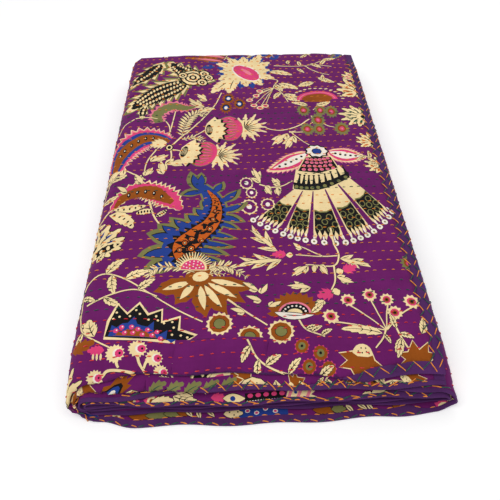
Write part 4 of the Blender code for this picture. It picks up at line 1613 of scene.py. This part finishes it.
def front_of_top(pen):
    """The motifs at the front, down to where the print is cut and the cloth bends over."""
    side = pen.at(-0.242, 0.190, 42)
    ragged_flower(side, 0.052, BLUE)
    dotted_leaf(pen.at(-0.244, 0.166, 32), 0.056, 0.024, -0.5, 1, CREAM)
    leafy_stem(pen, [(-0.250, 0.100), (-0.224, 0.134), (-0.192, 0.128), (-0.140, 0.092), (-0.070, 0.048)],
               ((0.36, 1), (0.58, 1), (0.44, -1)), 0.036)
    leafy_stem(pen, [(-0.232, 0.082), (-0.206, 0.096), (-0.170, 0.104), (-0.136, 0.092)],
               ((0.3, -1), (0.75, 1)), 0.030)
    leafy_stem(pen, [(-0.262, 0.120), (-0.244, 0.096), (-0.238, 0.060), (-0.226, 0.034), (-0.190, 0.012)],
               ((0.25, 1), (0.45, -1), (0.6, 1), (0.72, -1)), 0.024)
    stem(pen, [(-0.036, 0.082), (-0.012, 0.062), (0.018, 0.040)], 0.0030)
    leafy_stem(pen, [(0.058, 0.056), (0.070, 0.030), (0.094, 0.018)], ((0.5, 1), (0.7, 1), (0.95, 1)), 0.018)
    berry_leaf(pen.at(-0.154, 0.026, -3))
    calyx_fan(pen.at(0.057, 0.057, -2), 0.036)
    for spot in LARGE_DAISIES:
        daisy(pen.at(spot.x, spot.y, 20), spot.size, LARGE_DAISY, 15, 0.16)
    stem(pen, [(0.128, 0.215), (0.129, 0.182), (0.133, 0.158), (0.121, 0.138), (0.081, 0.140)], 0.0030)
    stem(pen, [(0.123, 0.140), (0.121, 0.112), (0.113, 0.094)], 0.0028)
    stem(pen, [(0.131, 0.158), (0.100, 0.156), (0.068, 0.160)], 0.0024)
    stem(pen, [(0.108, 0.157), (0.092, 0.166), (0.074, 0.178)], 0.0022)
    for root, tip, leaves in (
            ((0.134, 0.152), (0.176, 0.140), 4), ((0.084, 0.138), (0.058, 0.120), 3),
            ((0.094, 0.139), (0.092, 0.124), 2), ((0.102, 0.139), (0.112, 0.122), 3),
            ((0.124, 0.118), (0.148, 0.108), 3), ((0.041, 0.170), (0.000, 0.216), 4),
            ((0.046, 0.152), (-0.014, 0.148), 5), ((0.084, 0.098), (0.050, 0.104), 3),
            ((0.100, 0.076), (0.086, 0.066), 3), ((0.008, 0.098), (-0.014, 0.112), 2),
            ((0.012, 0.092), (0.022, 0.110), 2), ((0.012, 0.080), (-0.010, 0.088), 2),
            ((0.022, 0.070), (0.040, 0.078), 2), ((-0.012, 0.060), (-0.032, 0.066), 2),
            ((0.078, 0.170), (0.066, 0.184), 2)):
        spray(pen, root, tip, leaves, 0.0085)
    for x, y, turn, size in ((0.054, 0.161, 172, 0.022), (0.134, 0.130, 20, 0.024),
                             (0.116, 0.090, 200, 0.026)):
        bloom = pen.at(x, y, turn)
        bloom.fill(PINK, toothed(size, size * 0.9, 0.2, 4, 0.4, 0.6))
        bloom.at(-0.010, 0.0).lined(CREAM, blade(size * 0.5, size * 0.5, 0.0, 4), BLACK)
    for spot in PINK_DAISIES[:6]:
        stem(pen, [(spot.x, spot.y - 0.008), ((spot.x + 0.178) / 2, (spot.y + 0.024) / 2),
                   (0.179, 0.026)], 0.0022)
    leafy_stem(pen, [(0.178, 0.028), (0.172, 0.016), (0.160, 0.004)], ((0.4, 1),), 0.014)
    leafy_stem(pen, [(0.192, 0.030), (0.198, 0.010), (0.206, -0.002), (0.218, -0.006)],
               ((0.2, 1), (0.3, -1)), 0.020)
    for points in (
            [(-0.183, -0.002), (-0.181, -0.008), (-0.179, -0.012)],
                   [(-0.200, -0.020), (-0.190, -0.014), (-0.158, -0.019)],
            [(-0.155, 0.002), (-0.152, -0.008), (-0.145, -0.018)],
                   [(-0.139, 0.000), (-0.144, -0.008), (-0.146, -0.014)]):
        stem(pen, points, 0.0040)
    for spot in SIDE_DAISIES:
        side_daisy(pen.at(spot.x, spot.y), spot.size)
    for turn in (-20, 5, 28, 50):
        pen.at(-0.268, -0.046, turn).lined(CREAM, toothed(0.050, 0.013, 0.3, 5, 0.3), BLACK)
    pen.at(-0.244, 0.012, 20).fill(RUST, toothed(0.034, 0.022, 0.2, 4, 0.4))
    for spot in PINK_DAISIES:
        daisy(pen.at(spot.x, spot.y), spot.size, PINK_DAISY, 10, 0.24)
    for spot in SMALL_DAISIES:
        daisy(pen.at(spot.x, spot.y), spot.size, SMALL_DAISY, 11, 0.20)
    lobed_leaf(pen.at(0.140, -0.010, -8), 0.030)
    lobed_leaf(pen.at(0.216, -0.014, 6, mirror=-1), 0.028)
    drip = pen.at(-0.198, 0.010, 178)
    drip.fill(PINK, toothed(0.022, 0.014, 0.2, 5, 0.3))
    for along in (0.004, 0.009, 0.014):
        drip.fill(CREAM, around(7, 0.0016, 0.0042), along, 0.0075)


PRINT_CUT = 0.0215


def plain_strip(pen):
    """Where the print was cut off straight, plain cloth goes on to the hem."""
    pen.fill(GROUND, [(-0.112, -0.034), (0.006, -0.034), (0.020, PRINT_CUT), (-0.106, PRINT_CUT + 0.001)])
    leafy_stem(pen, [(-0.010, 0.018), (0.004, -0.006), (0.036, -0.022), (0.078, -0.030), (0.104, -0.040)],
               ((0.12, -1), (0.28, -1), (0.34, 1), (0.5, -1), (0.58, 1), (0.74, -1), (0.8, 1)), 0.024)


def right_edge(pen):
    """Flowers that the right hem cuts."""
    ragged_flower(pen.at(0.240, 0.590, 118), 0.056, ORANGE)
    ragged_flower(pen.at(0.238, 0.640, 96), 0.036, PINK)
    ragged_flower(pen.at(0.234, 0.508, 170), 0.050, GREEN_THREAD)
    ragged_flower(pen.at(0.236, 0.424, 122), 0.036, ORANGE)
    ragged_flower(pen.at(0.240, 0.360, 158), 0.032, ORANGE)
    leafy_stem(pen, [(0.246, 0.330), (0.232, 0.372), (0.214, 0.388), (0.196, 0.390)],
               ((0.3, 1), (0.5, -1), (0.7, 1)), 0.020)
    daisy(pen.at(0.236, 0.140), 0.014, OLIVE_DAISY, 12, 0.3)
    sprig_leaf(pen.at(0.226, 0.020, 75), 0.026, 0.012)


# Fillers where no single motif can be made out

def filler(pen, chance):
    """One small motif of a kind chosen by chance."""
    kind = chance.randrange(8)
    size = chance.uniform(0.8, 1.15)
    if kind == 0:
        sprig_leaf(pen, 0.036 * size, 0.016 * size, chance.uniform(-0.6, 0.6))
    elif kind == 1:
        daisy(pen, 0.013 * size, chance.choice((RUST_DAISY, OLIVE_DAISY, PINK_DAISY, LARGE_DAISY)), 11)
    elif kind == 2:
        leafy_stem(pen, [(-0.024, 0.0), (0.0, 0.006), (0.026, -0.002)], ((0.2, 1), (0.5, -1), (0.8, 1)),
                   0.018 * size)
    elif kind == 3:
        pen.fill(CREAM, grown(toothed(0.044 * size, 0.024 * size, 0.4, 6), 0.0012))
        pen.fill(RUST, toothed(0.044 * size, 0.024 * size, 0.4, 6))
    elif kind == 4:
        dotted_leaf(pen, 0.050 * size, 0.028 * size, 0.4, 1)
    elif kind == 5:
        pen.fill(OLIVE, toothed(0.040 * size, 0.022 * size, 0.5, 5, 0.4))
        pen.fill(BLUE, toothed(0.034 * size, 0.011 * size, 0.5, 5, 0.3))
    elif kind == 6:
        lobed_leaf(pen, 0.020 * size)
    else:
        pen.fill(PINK, spiky(9, 0.011 * size, 0.008 * size))
        pen.fill(CREAM, around(8, 0.006 * size))
        pen.fill(RUST, around(6, 0.003 * size))


def fill_area(inks, low, high, front, back, pitch, chance):
    """Fillers all over a rectangle of the flat cloth."""
    y = front
    row = 0
    while y < back:
        x = low + (row % 2) * pitch / 2
        while x < high:
            pen = Pen(inks, x + chance.uniform(-0.2, 0.2) * pitch, y + chance.uniform(-0.2, 0.2) * pitch,
                      chance.uniform(0, 360))
            filler(pen, chance)
            x += pitch
        y += pitch * 0.8
        row += 1


def strip_motifs(pen):
    """The motifs that can be made out on the strips at the front, from the top one down."""
    pen.fill(GROUND, ribbon([(-0.145, 1.546), (-0.030, 1.548)], 0.024))
    for number in range(5):
        leaf = pen.at(-0.140 + 0.023 * number, 1.5545, -30)
        leaf.fill(OLIVE, toothed(0.027, 0.015, 0.6, 4, 0.42))
        leaf.at(0.003, 0.0).fill(GREEN_THREAD, blade(0.018, 0.0012, 0.6, 3))
    pen.lined(CREAM, rough(blade(0.036, 0.014, 0.2, 7), 0.001), BLACK, -0.020, 1.549)
    pen.dots(BLACK, [(-0.012, 1.547), (-0.006, 1.551), (0.001, 1.547), (0.007, 1.551)], 0.0009)
    pen.fill(GROUND, ribbon([(-1.130, 1.548), (-0.862, 1.548)], 0.020))
    pen.fill(PINK, toothed(0.022, 0.014, 0.2, 4), -1.124, 1.549)
    pen.lined(CREAM, blade(0.030, 0.013, 0.0, 7), BLACK, -1.108, 1.549)
    pen.fill(BLUE, around(8, 0.0036), -1.095, 1.549)
    pen.fill(BLACK, ribbon([(-1.079, 1.549), (-1.026, 1.549)], 0.013))
    pen.dots(PINK, [(-1.072 + 0.0105 * number, 1.546) for number in range(5)], 0.0038, 0.0030, 8)
    pen.dots(WHITE, [(-1.076 + 0.0036 * number, 1.5535) for number in range(14)], 0.0012)
    pen.fill(CREAM, [(-1.026, 1.5545), (-1.022, 1.542), (-0.986, 1.542), (-0.992, 1.547), (-0.984, 1.550),
                     (-0.994, 1.5545)])
    for x in (-1.020, -1.008, -0.996):
        pen.fill(ROSE, ribbon([(x - 0.003, 1.5545), (x + 0.003, 1.542)], 0.0040))
    pen.dots(BLUE, [(-1.012, 1.545), (-1.001, 1.552)], 0.0024)
    for x, turn in ((-0.925, 10), (-0.912, -16), (-0.898, 12), (-0.884, -10)):
        pen.at(x, 1.549, turn).lined(CREAM, toothed(0.024, 0.009, 0.3, 4, 0.24), BLACK)
    pen.fill(RUST, toothed(0.030, 0.014, 0.2, 5), -0.880, 1.549)
    pen.lined(CREAM, toothed(0.032, 0.015, 0.4, 5, 0.2), BLACK, -1.204, 1.548)
    pen.fill(BLACK, around(7, 0.0022), -1.194, 1.548)
    pen.fill(GROUND, ribbon([(-0.735, -0.056), (-0.340, -0.056)], 0.020))
    for x, length, colour in (
            (-0.350, 0.034, RUST), (-0.372, 0.040, OLIVE), (-0.396, 0.030, OLIVE), (-0.414, 0.022, RUST),
            (-0.595, 0.030, RUST), (-0.620, 0.020, OLIVE), (-0.702, 0.022, RUST)):
        pen.at(x, -0.0545, 184).lined(colour, toothed(length, 0.012, 0.2, 5, 0.2), BLACK)
    for x, turn in ((-0.424, 226), (-0.440, 250), (-0.452, 220), (-0.640, 232), (-0.655, 214), (-0.668, 236)):
        pen.at(x, -0.050, turn).lined(CREAM, blade(0.016, 0.006, 0.2, 5), BLACK)
        pen.at(x, -0.050, turn).at(0.003, 0.0).fill(BLACK, blade(0.011, 0.0014, 0.2, 3))
    pen.fill(BLUE, ribbon([(-0.562, -0.056), (-0.494, -0.056)], 0.013))
    pen.at(-0.476, -0.056, 180).lined(CREAM, toothed(0.026, 0.013, 0.2, 5, 0.2), BLACK)
    pen.dots(BLACK, [(-0.484, -0.0535), (-0.490, -0.0575), (-0.495, -0.0535)], 0.0012)
    pen.dots(WHITE, [(-0.508, -0.0535), (-0.520, -0.0575), (-0.532, -0.0530), (-0.545, -0.0570)], 0.0036,
             0.0028, 8)
    pen.dots(PINK, [(-0.508, -0.0535), (-0.520, -0.0575), (-0.532, -0.0530), (-0.545, -0.0570)], 0.0024,
             0.0018, 7)


def outer_inks():
    """The print on the outer face."""
    inks = []
    pen = Pen(inks)
    chance = random.Random(5)
    left_foot, right_foot = flat_across("left fold foot"), flat_across("right fold foot")
    right_top = flat_across("right fold top")
    fill_area(inks, left_foot, -0.272, -0.06, 0.745, 0.050, chance)
    fill_area(inks, right_top, right_foot, -0.06, 0.745, 0.054, chance)
    fill_area(inks, FLAT_END, left_foot, 0.740, 0.760, 0.085, chance)
    fill_area(inks, left_foot, 0.236, 0.760, 0.775, 0.044, chance)
    fill_area(inks, flat_across("loop foot"), flat_across("loop top"), -0.04, 0.02, 0.034, chance)
    back_of_top(pen)
    middle_of_top(pen)
    front_of_top(pen)
    plain_strip(pen)
    right_edge(pen)
    for leaf in SPRIG_LEAVES:
        sprig_leaf(pen.at(leaf.x, leaf.y, leaf.turn), leaf.length, leaf.width, leaf.bend)
    return inks


def under_inks():
    """The print on the strips of the inner face that show at the front."""
    inks = []
    chance = random.Random(8)
    strips = (
        ("left fold foot", "outer end", 1.545, 1.556),
        ("loop foot", "right fold foot", 1.543, 1.553),
        ("right fold top", "left fold foot", -0.056, -0.030),
    )
    for low, high, front, back in strips:
        fill_area(inks, flat_across(low), flat_across(high), front, back, 0.027, chance)
    strip_motifs(Pen(inks))
    return inks


def make_floor(glow):
    """A plain pale floor, bright as a studio's white paper."""
    bpy.ops.mesh.primitive_grid_add(x_subdivisions=4, y_subdivisions=4, size=FLOOR_SIZE)
    floor = bpy.context.object
    floor.name = "floor"
    tree = Tree("pale_floor", linear(250, 250, 250), 0.9, 0.0)
    tree.shader.inputs["Emission Color"].default_value = (1.0, 1.0, 1.0, 1.0)
    tree.shader.inputs["Emission Strength"].default_value = glow
    floor.data.materials.append(tree.material)


FLOOR_GLOW = 0.22


def make_sky(strength):
    """Even white light from all round."""
    world = bpy.data.worlds.new("studio")
    world.use_nodes = True
    world.node_tree.nodes["Background"].inputs["Color"].default_value = (1.0, 1.0, 1.0, 1.0)
    world.node_tree.nodes["Background"].inputs["Strength"].default_value = strength
    bpy.context.scene.world = world


SKY_LIGHT = 0.48


# Stitches

Thread = namedtuple("Thread", "radius sides")
RUNNING_THREAD = Thread(0.00078, 4)
HEM_THREAD = Thread(0.00072, 5)
LOOSE_THREAD = Thread(0.00042, 4)


class Stitches:
    """Many short threads, gathered into one mesh."""

    def __init__(self, thread):
        self.thread = thread
        self.points, self.triangles, self.colours, self.flats = [], [], [], []
        self.count = 0

    def tube(self, line, normals, colour, taper=0.45):
        """A thread along a line of points, thin at its ends where it goes into the cloth."""
        rings, sides = len(line), self.thread.sides
        along = np.gradient(line, axis=0)
        along /= np.linalg.norm(along, axis=1, keepdims=True)
        across = np.cross(along, normals)
        across /= np.linalg.norm(across, axis=1, keepdims=True)
        up = np.cross(across, along)
        width = np.full(rings, self.thread.radius)
        width[[0, -1]] *= taper
        angles = 2 * np.pi * np.arange(sides) / sides
        ring = (np.cos(angles)[None, :, None] * across[:, None] + np.sin(angles)[None, :, None] * up[:, None])
        points = line[:, None] + ring * width[:, None, None]
        start = self.count
        faces = []
        for step in range(rings - 1):
            for side in range(sides):
                after = (side + 1) % sides
                a, b = start + step * sides + side, start + step * sides + after
                faces += [(a, a + sides, b), (b, a + sides, b + sides)]
        last = start + (rings - 1) * sides
        for side in range(1, sides - 1):
            faces += [(start, start + side, start + side + 1), (last, last + side + 1, last + side)]
        self.points.append(points.reshape(-1, 3))
        self.triangles += faces
        self.colours += [colour] * len(faces)
        travel = np.concatenate([[0.0], np.cumsum(np.linalg.norm(np.diff(line, axis=0), axis=1))])
        flat = np.stack([np.repeat(travel, sides), np.tile(angles, rings) * self.thread.radius], 1)
        self.flats.append(flat + start * 0.001)
        self.count += rings * sides

    def sew(self, start, end, side, colour, height, steps=5, base=None):
        """A stitch between two flat places, on the outer (1) or the inner (-1) face."""
        share = np.linspace(0.0, 1.0, steps)
        p = blend(start[0], end[0], share)
        q = blend(start[1], end[1], share)
        base = COVER_THICKNESS / 2 if base is None else base
        rise = base - 0.0005 + (height + 0.0005) * np.sin(np.pi * share) ** 0.5
        line, normals = lay(p, q, side * rise)
        self.tube(line, normals * side, colour)

    def finish(self, name, material):
        return mesh_piece(
            name, np.concatenate(self.points), self.triangles, self.colours,
            np.concatenate(self.flats), material)


STITCH = 0.0064
STITCH_PITCH = 0.0138
ROW_CLEARANCE = 0.002

# Thread colours of the rows, from the front to the back of the top face
Band = namedtuple("Band", "back colour")
ROW_BANDS = (
    Band(0.060, RED_THREAD),
    Band(0.124, GREEN_THREAD),
    Band(0.300, ORANGE_THREAD),
    Band(0.345, GREEN_THREAD),
    Band(0.500, ORANGE_THREAD),
    Band(0.530, GREEN_THREAD),
    Band(0.780, ORANGE_THREAD),
    Band(2.000, RED_THREAD),
)


def row_colour(q):
    """The thread of the row of running stitches at a flat place to the back."""
    return next(band.colour for band in ROW_BANDS if q < band.back)


def sew_rows(stitches, low, high, front, back, side, sewing, chance):
    """Rows of running stitches over a rectangle of the flat cloth."""
    for row in range(math.ceil(front / ROW_PITCH), math.floor(back / ROW_PITCH) + 1):
        p = low + chance.uniform(0.0, sewing.pitch)
        colour = row_colour(row * ROW_PITCH)
        while p < high - sewing.stitch:
            length = sewing.stitch * chance.uniform(0.8, 1.15)
            ends = []
            for place in (p, p + length):
                q = row * ROW_PITCH
                q -= (row_phase(place, q) - row) * ROW_PITCH
                ends.append((place, q + chance.uniform(-0.0004, 0.0004)))
            seams = [hem_line(np.array([p]), hem, BINDING_WIDTH + ROW_CLEARANCE)[0]
                     for hem in ("outer", "inner")]
            if seams[0] < ends[0][1] < seams[1]:
                stitches.sew(ends[0], ends[1], side, colour, 0.0006)
            p += sewing.pitch * chance.uniform(0.88, 1.12)


def make_running_stitches(material, sewing):
    """The quilting that shows from above and from the sides."""
    stitches = Stitches(Thread(sewing.running_radius, RUNNING_THREAD.sides))
    chance = random.Random(11)
    left_foot, right_foot = flat_across("left fold foot"), flat_across("right fold foot")
    right_top = flat_across("right fold top")
    turn = 0.745
    high = TOP_WIDTH / 2 - BINDING_WIDTH - 0.003
    sew_rows(stitches, left_foot, high, -0.04, turn, 1, sewing, chance)
    sew_rows(stitches, right_top, right_foot, -0.06, turn, 1, sewing, chance)
    return stitches.finish("running_stitches", material)


# Edge stitches: along which edge, from where to where, at which distances from the
# edge, on the outer (1) or the inner (-1) face, how far apart and how far each reaches
Zigzag = namedtuple("Zigzag", "edge low high near far side pitch reach")
Dashes = namedtuple("Dashes", "edge low high distance side pitch length")
HEM_ZIGZAGS = (
    Zigzag("outer", 0.118, 0.246, 0.0040, 0.0150, 1, 0.0225, 0.0125),
    Zigzag("outer", -0.320, -0.150, 0.0030, 0.0160, 1, 0.0180, 0.0100),
    Zigzag("inner", -0.255, 0.130, 0.0085, 0.0195, -1, 0.0225, 0.0125),
    Zigzag("inner", 0.090, 0.240, 0.0120, 0.0180, -1, 0.0240, -0.0130),
    Zigzag("inner", -1.300, -0.825, 0.0035, 0.0150, -1, 0.0225, 0.0120),
    Zigzag("outer", -0.760, -0.290, 0.0006, 0.0048, -1, -0.0215, -0.0085),
    Zigzag("outer", -1.240, -0.800, 0.0140, 0.0210, 1, 0.0240, 0.0130),
    Zigzag("end", -0.020, 0.738, 0.0010, 0.0075, 1, 0.0195, 0.0110),
    Zigzag("end", -0.014, 0.738, 0.0115, 0.0200, 1, 0.0205, -0.0120),
)
HEM_DASHES = (
    Dashes("outer", -0.180, -0.130, 0.0150, 1, 0.0170, 0.0080),
    Dashes("inner", -0.050, 0.235, 0.0128, -1, 0.0190, 0.0075),
    Dashes("inner", -1.280, -0.830, 0.0030, -1, 0.0190, 0.0070),
    Dashes("outer", -0.760, -0.300, 0.0150, -1, 0.0190, 0.0085),
)
EDGE_LIFT = 0.0007


def edge_places():
    """The flat places along the edges, by name."""
    return {
        "outer": HemPlaces("outer"), "inner": HemPlaces("inner"), "end": EndPlaces(TOP_WIDTH / 2, -1)}


def edge_point(places, along, distance):
    """One flat place at a distance from an edge."""
    p, q = places.point(along, np.array([distance]))
    return p[0], q[0]


def sew_zigzag(stitches, places, zigzag, chance):
    """Slanted stitches, orange ones one way and green ones the other way."""
    count = int((zigzag.high - zigzag.low) / abs(zigzag.pitch))
    for number in range(count):
        here = zigzag.low if zigzag.pitch > 0 else zigzag.high
        here += number * zigzag.pitch
        turn = zigzag.pitch / 2
        strokes = (
            (ORANGE_THREAD, (here, zigzag.far), (here + zigzag.reach, zigzag.near)),
            (GREEN_THREAD, (here + turn, zigzag.near), (here + turn + zigzag.reach, zigzag.far)),
        )
        for colour, *ends in strokes:
            start, end = [
                edge_point(places, along + chance.uniform(-0.0014, 0.0014),
                           distance + chance.uniform(-0.0008, 0.0008))
                for along, distance in ends]
            stitches.sew(start, end, zigzag.side, colour, EDGE_LIFT, 7, BINDING_THICKNESS / 2)


def sew_dashes(stitches, places, dashes, chance):
    """A row of orange stitches that follows an edge."""
    along = dashes.low
    while along < dashes.high:
        length = dashes.length * chance.uniform(0.8, 1.15)
        start = edge_point(places, along, dashes.distance + chance.uniform(-0.0005, 0.0005))
        end = edge_point(places, along + length, dashes.distance + chance.uniform(-0.0005, 0.0005))
        stitches.sew(start, end, dashes.side, ORANGE_THREAD, EDGE_LIFT, 5, BINDING_THICKNESS / 2)
        along += dashes.pitch * chance.uniform(0.9, 1.1)


def make_hem_stitches(material, sewing):
    """The slanted stitches and the dashes that sew the bindings down."""
    stitches = Stitches(Thread(sewing.hem_radius, HEM_THREAD.sides))
    chance = random.Random(5)
    places = edge_places()
    for zigzag in HEM_ZIGZAGS:
        sew_zigzag(stitches, places[zigzag.edge], zigzag, chance)
    for dashes in HEM_DASHES:
        sew_dashes(stitches, places[dashes.edge], dashes, chance)
    return stitches.finish("hem_stitches", material)


# Loose ends of thread on the strips: flat places and distances in from the hem
LOOSE_THREADS = (
    ((-0.214, 0.012), (-0.196, 0.008), (-0.178, 0.010), (-0.160, 0.004), (-0.146, 0.007), (-0.138, -0.002)),
    ((-0.082, 0.004), (-0.072, -0.004), (-0.056, -0.006), (-0.046, 0.000), (-0.058, 0.004), (-0.038, 0.006)),
    ((-0.050, -0.005), (-0.030, -0.007), (-0.012, -0.002), (0.004, -0.004), (0.014, 0.002)),
)
LOOSE_LIFT = 0.0004


def make_loose_threads(material):
    """Thin loose ends of thread that lie along the upper strip's hem."""
    stitches = Stitches(LOOSE_THREAD)
    places = HemPlaces("inner")
    for points in LOOSE_THREADS:
        line = smooth_line(points, 5)
        flats = np.array([edge_point(places, along, distance) for along, distance in line])
        lift = -(BINDING_THICKNESS / 2 + LOOSE_THREAD.radius + LOOSE_LIFT)
        path, normals = lay(flats[:, 0], flats[:, 1], np.full(len(flats), lift))
        stitches.tube(path, -normals, LILAC_THREAD)
    return stitches.finish("loose_threads", material)


# The add-on

def colour_property(name, description, colour):
    """A colour that the user can change, with its default."""
    return FloatVectorProperty(
        name=name, description=description, default=colour, subtype="COLOR", size=3, min=0.0, max=1.0)


class ClothSettings(bpy.types.PropertyGroup):
    """The cloth's own sizes and its plain colour."""

    cover_thickness: FloatProperty(
        name="Cover", description="Thickness of the quilted cotton at its rows of stitches",
        default=COVER_THICKNESS, min=0.001, max=0.003, unit="LENGTH")
    binding_thickness: FloatProperty(
        name="Binding", description="Thickness of the bound edge",
        default=BINDING_THICKNESS, min=0.001, max=0.004, unit="LENGTH")
    binding_colour: colour_property("Binding colour", "The plain cotton round the edges", VIOLET)


class SewingSettings(bpy.types.PropertyGroup):
    """The running stitches and the threads."""

    stitch: FloatProperty(
        name="Stitch", description="Length of a running stitch", default=STITCH,
        min=0.002, max=0.012, unit="LENGTH")
    pitch: FloatProperty(
        name="Pitch", description="Distance from one running stitch to the next in its row",
        default=STITCH_PITCH, min=0.008, max=0.040, unit="LENGTH")
    running_radius: FloatProperty(
        name="Running thread", description="Radius of the thread of the running stitches",
        default=RUNNING_THREAD.radius, min=0.0002, max=0.002, unit="LENGTH")
    hem_radius: FloatProperty(
        name="Hem thread", description="Radius of the thread along the bindings",
        default=HEM_THREAD.radius, min=0.0002, max=0.002, unit="LENGTH")


class StageSettings(bpy.types.PropertyGroup):
    """The camera's lens and the even light."""

    lens: FloatProperty(
        name="Lens", description="Focal length of the camera", default=CAMERA_LENS,
        min=10.0, max=200.0, unit="CAMERA")
    floor_glow: FloatProperty(
        name="Floor glow", description="How much light the pale floor adds of its own",
        default=FLOOR_GLOW, min=0.0, max=1.0, unit="NONE")
    sky_light: FloatProperty(
        name="Sky light", description="Strength of the light from all round",
        default=SKY_LIGHT, min=0.0, max=2.0, unit="NONE")


class BedspreadOperator:
    """What the bedspread's operators share."""

    bl_options = {"REGISTER", "UNDO"}

    def finish_piece(self, piece, slot, *nodes):
        """Let a piece ride on the frame, in place of its nodes."""
        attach(piece, "root")
        if nodes:
            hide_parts(*nodes)


class BEDSPREAD_OT_cover(BedspreadOperator, bpy.types.Operator):
    """Fold the printed and quilted cover"""

    bl_idname = "bedspread.cover"
    bl_label = "Cover"

    def execute(self, context):
        cloth = context.scene.bedspread_cloth
        material = cotton("printed_cotton", GROUND, True, 0.16)
        cover = make_cover(material, outer_inks(), under_inks(), cloth.cover_thickness)
        self.finish_piece(cover, "printed_cotton", "cover_cloth")
        return {"FINISHED"}


class BEDSPREAD_OT_bindings(BedspreadOperator, bpy.types.Operator):
    """Sew the four plain bindings round the cover's edges"""

    bl_idname = "bedspread.bindings"
    bl_label = "Bindings"

    def execute(self, context):
        cloth = context.scene.bedspread_cloth
        material = cotton("plain_cotton", VIOLET, False, 0.2)
        edges = (
            ("outer_hem", HemPlaces("outer"), 16),
            ("inner_hem", HemPlaces("inner"), 16),
            ("outer_end", EndPlaces(TOP_WIDTH / 2, -1), 4),
            ("inner_end", EndPlaces(FLAT_END, 1), 4),
        )
        for name, places, steps in edges:
            piece = make_binding(
                f"bound_{name}", material, places, steps,
                tuple(cloth.binding_colour), cloth.binding_thickness)
            self.finish_piece(piece, "plain_cotton", f"binding_{name}")
        return {"FINISHED"}


class BEDSPREAD_OT_quilting(BedspreadOperator, bpy.types.Operator):
    """Sew the rows of running stitches"""

    bl_idname = "bedspread.quilting"
    bl_label = "Running stitches"

    def execute(self, context):
        piece = make_running_stitches(thread_cotton("embroidery_cotton"), context.scene.bedspread_sewing)
        self.finish_piece(piece, "thread")
        return {"FINISHED"}


class BEDSPREAD_OT_hem_stitches(BedspreadOperator, bpy.types.Operator):
    """Sew the slanted stitches along the bindings"""

    bl_idname = "bedspread.hem_stitches"
    bl_label = "Hem stitches"

    def execute(self, context):
        piece = make_hem_stitches(thread_cotton("hem_cotton"), context.scene.bedspread_sewing)
        self.finish_piece(piece, "thread")
        piece = make_loose_threads(thread_cotton("loose_cotton"))
        self.finish_piece(piece, "thread")
        return {"FINISHED"}


class BEDSPREAD_OT_stage(BedspreadOperator, bpy.types.Operator):
    """Set the camera, the floor and the light"""

    bl_idname = "bedspread.stage"
    bl_label = "Stage"

    def execute(self, context):
        stage = context.scene.bedspread_stage
        make_camera(stage.lens)
        make_lamps()
        make_floor(stage.floor_glow)
        make_sky(stage.sky_light)
        context.scene.view_settings.view_transform = "Standard"
        return {"FINISHED"}


class BEDSPREAD_PT_panel(bpy.types.Panel):
    """The bedspread's sizes and the steps that make it"""

    bl_idname = "BEDSPREAD_PT_panel"
    bl_label = "Bedspread"
    bl_space_type = "VIEW_3D"
    bl_region_type = "UI"
    bl_category = "Bedspread"

    def draw(self, context):
        layout = self.layout
        for settings, group in GROUPS.items():
            for name in group.__annotations__:
                layout.prop(getattr(context.scene, settings), name)
        for operator in OPERATORS:
            layout.operator(operator.bl_idname)


OPERATORS = (
    BEDSPREAD_OT_stage,
    BEDSPREAD_OT_cover,
    BEDSPREAD_OT_bindings,
    BEDSPREAD_OT_quilting,
    BEDSPREAD_OT_hem_stitches,
)
GROUPS = {
    "bedspread_cloth": ClothSettings,
    "bedspread_sewing": SewingSettings,
    "bedspread_stage": StageSettings,
}
CLASSES = (*GROUPS.values(), *OPERATORS, BEDSPREAD_PT_panel)


def register():
    """Add the settings, the operators and the panel."""
    for cls in CLASSES:
        bpy.utils.register_class(cls)
    for settings, group in GROUPS.items():
        setattr(bpy.types.Scene, settings, PointerProperty(type=group))


def unregister():
    """Take them away again."""
    for settings in GROUPS:
        delattr(bpy.types.Scene, settings)
    for cls in reversed(CLASSES):
        bpy.utils.unregister_class(cls)


def main():
    """Make the bedspread and its stage."""
    register()
    bpy.ops.object.select_all(action="DESELECT")
    bpy.ops.bedspread.stage()
    bpy.ops.bedspread.cover()
    bpy.ops.bedspread.bindings()
    bpy.ops.bedspread.quilting()
    bpy.ops.bedspread.hem_stitches()
    pieces = {piece.name: piece for piece in bpy.context.scene.objects}
    bound = [pieces[name] for name in pieces if name.startswith("bound_")]
    bound + [pieces[name] for name in ("running_stitches", "hem_stitches", "loose_threads")]
    bpy.context.view_layer.update()


if __name__ == "__main__":
    main()
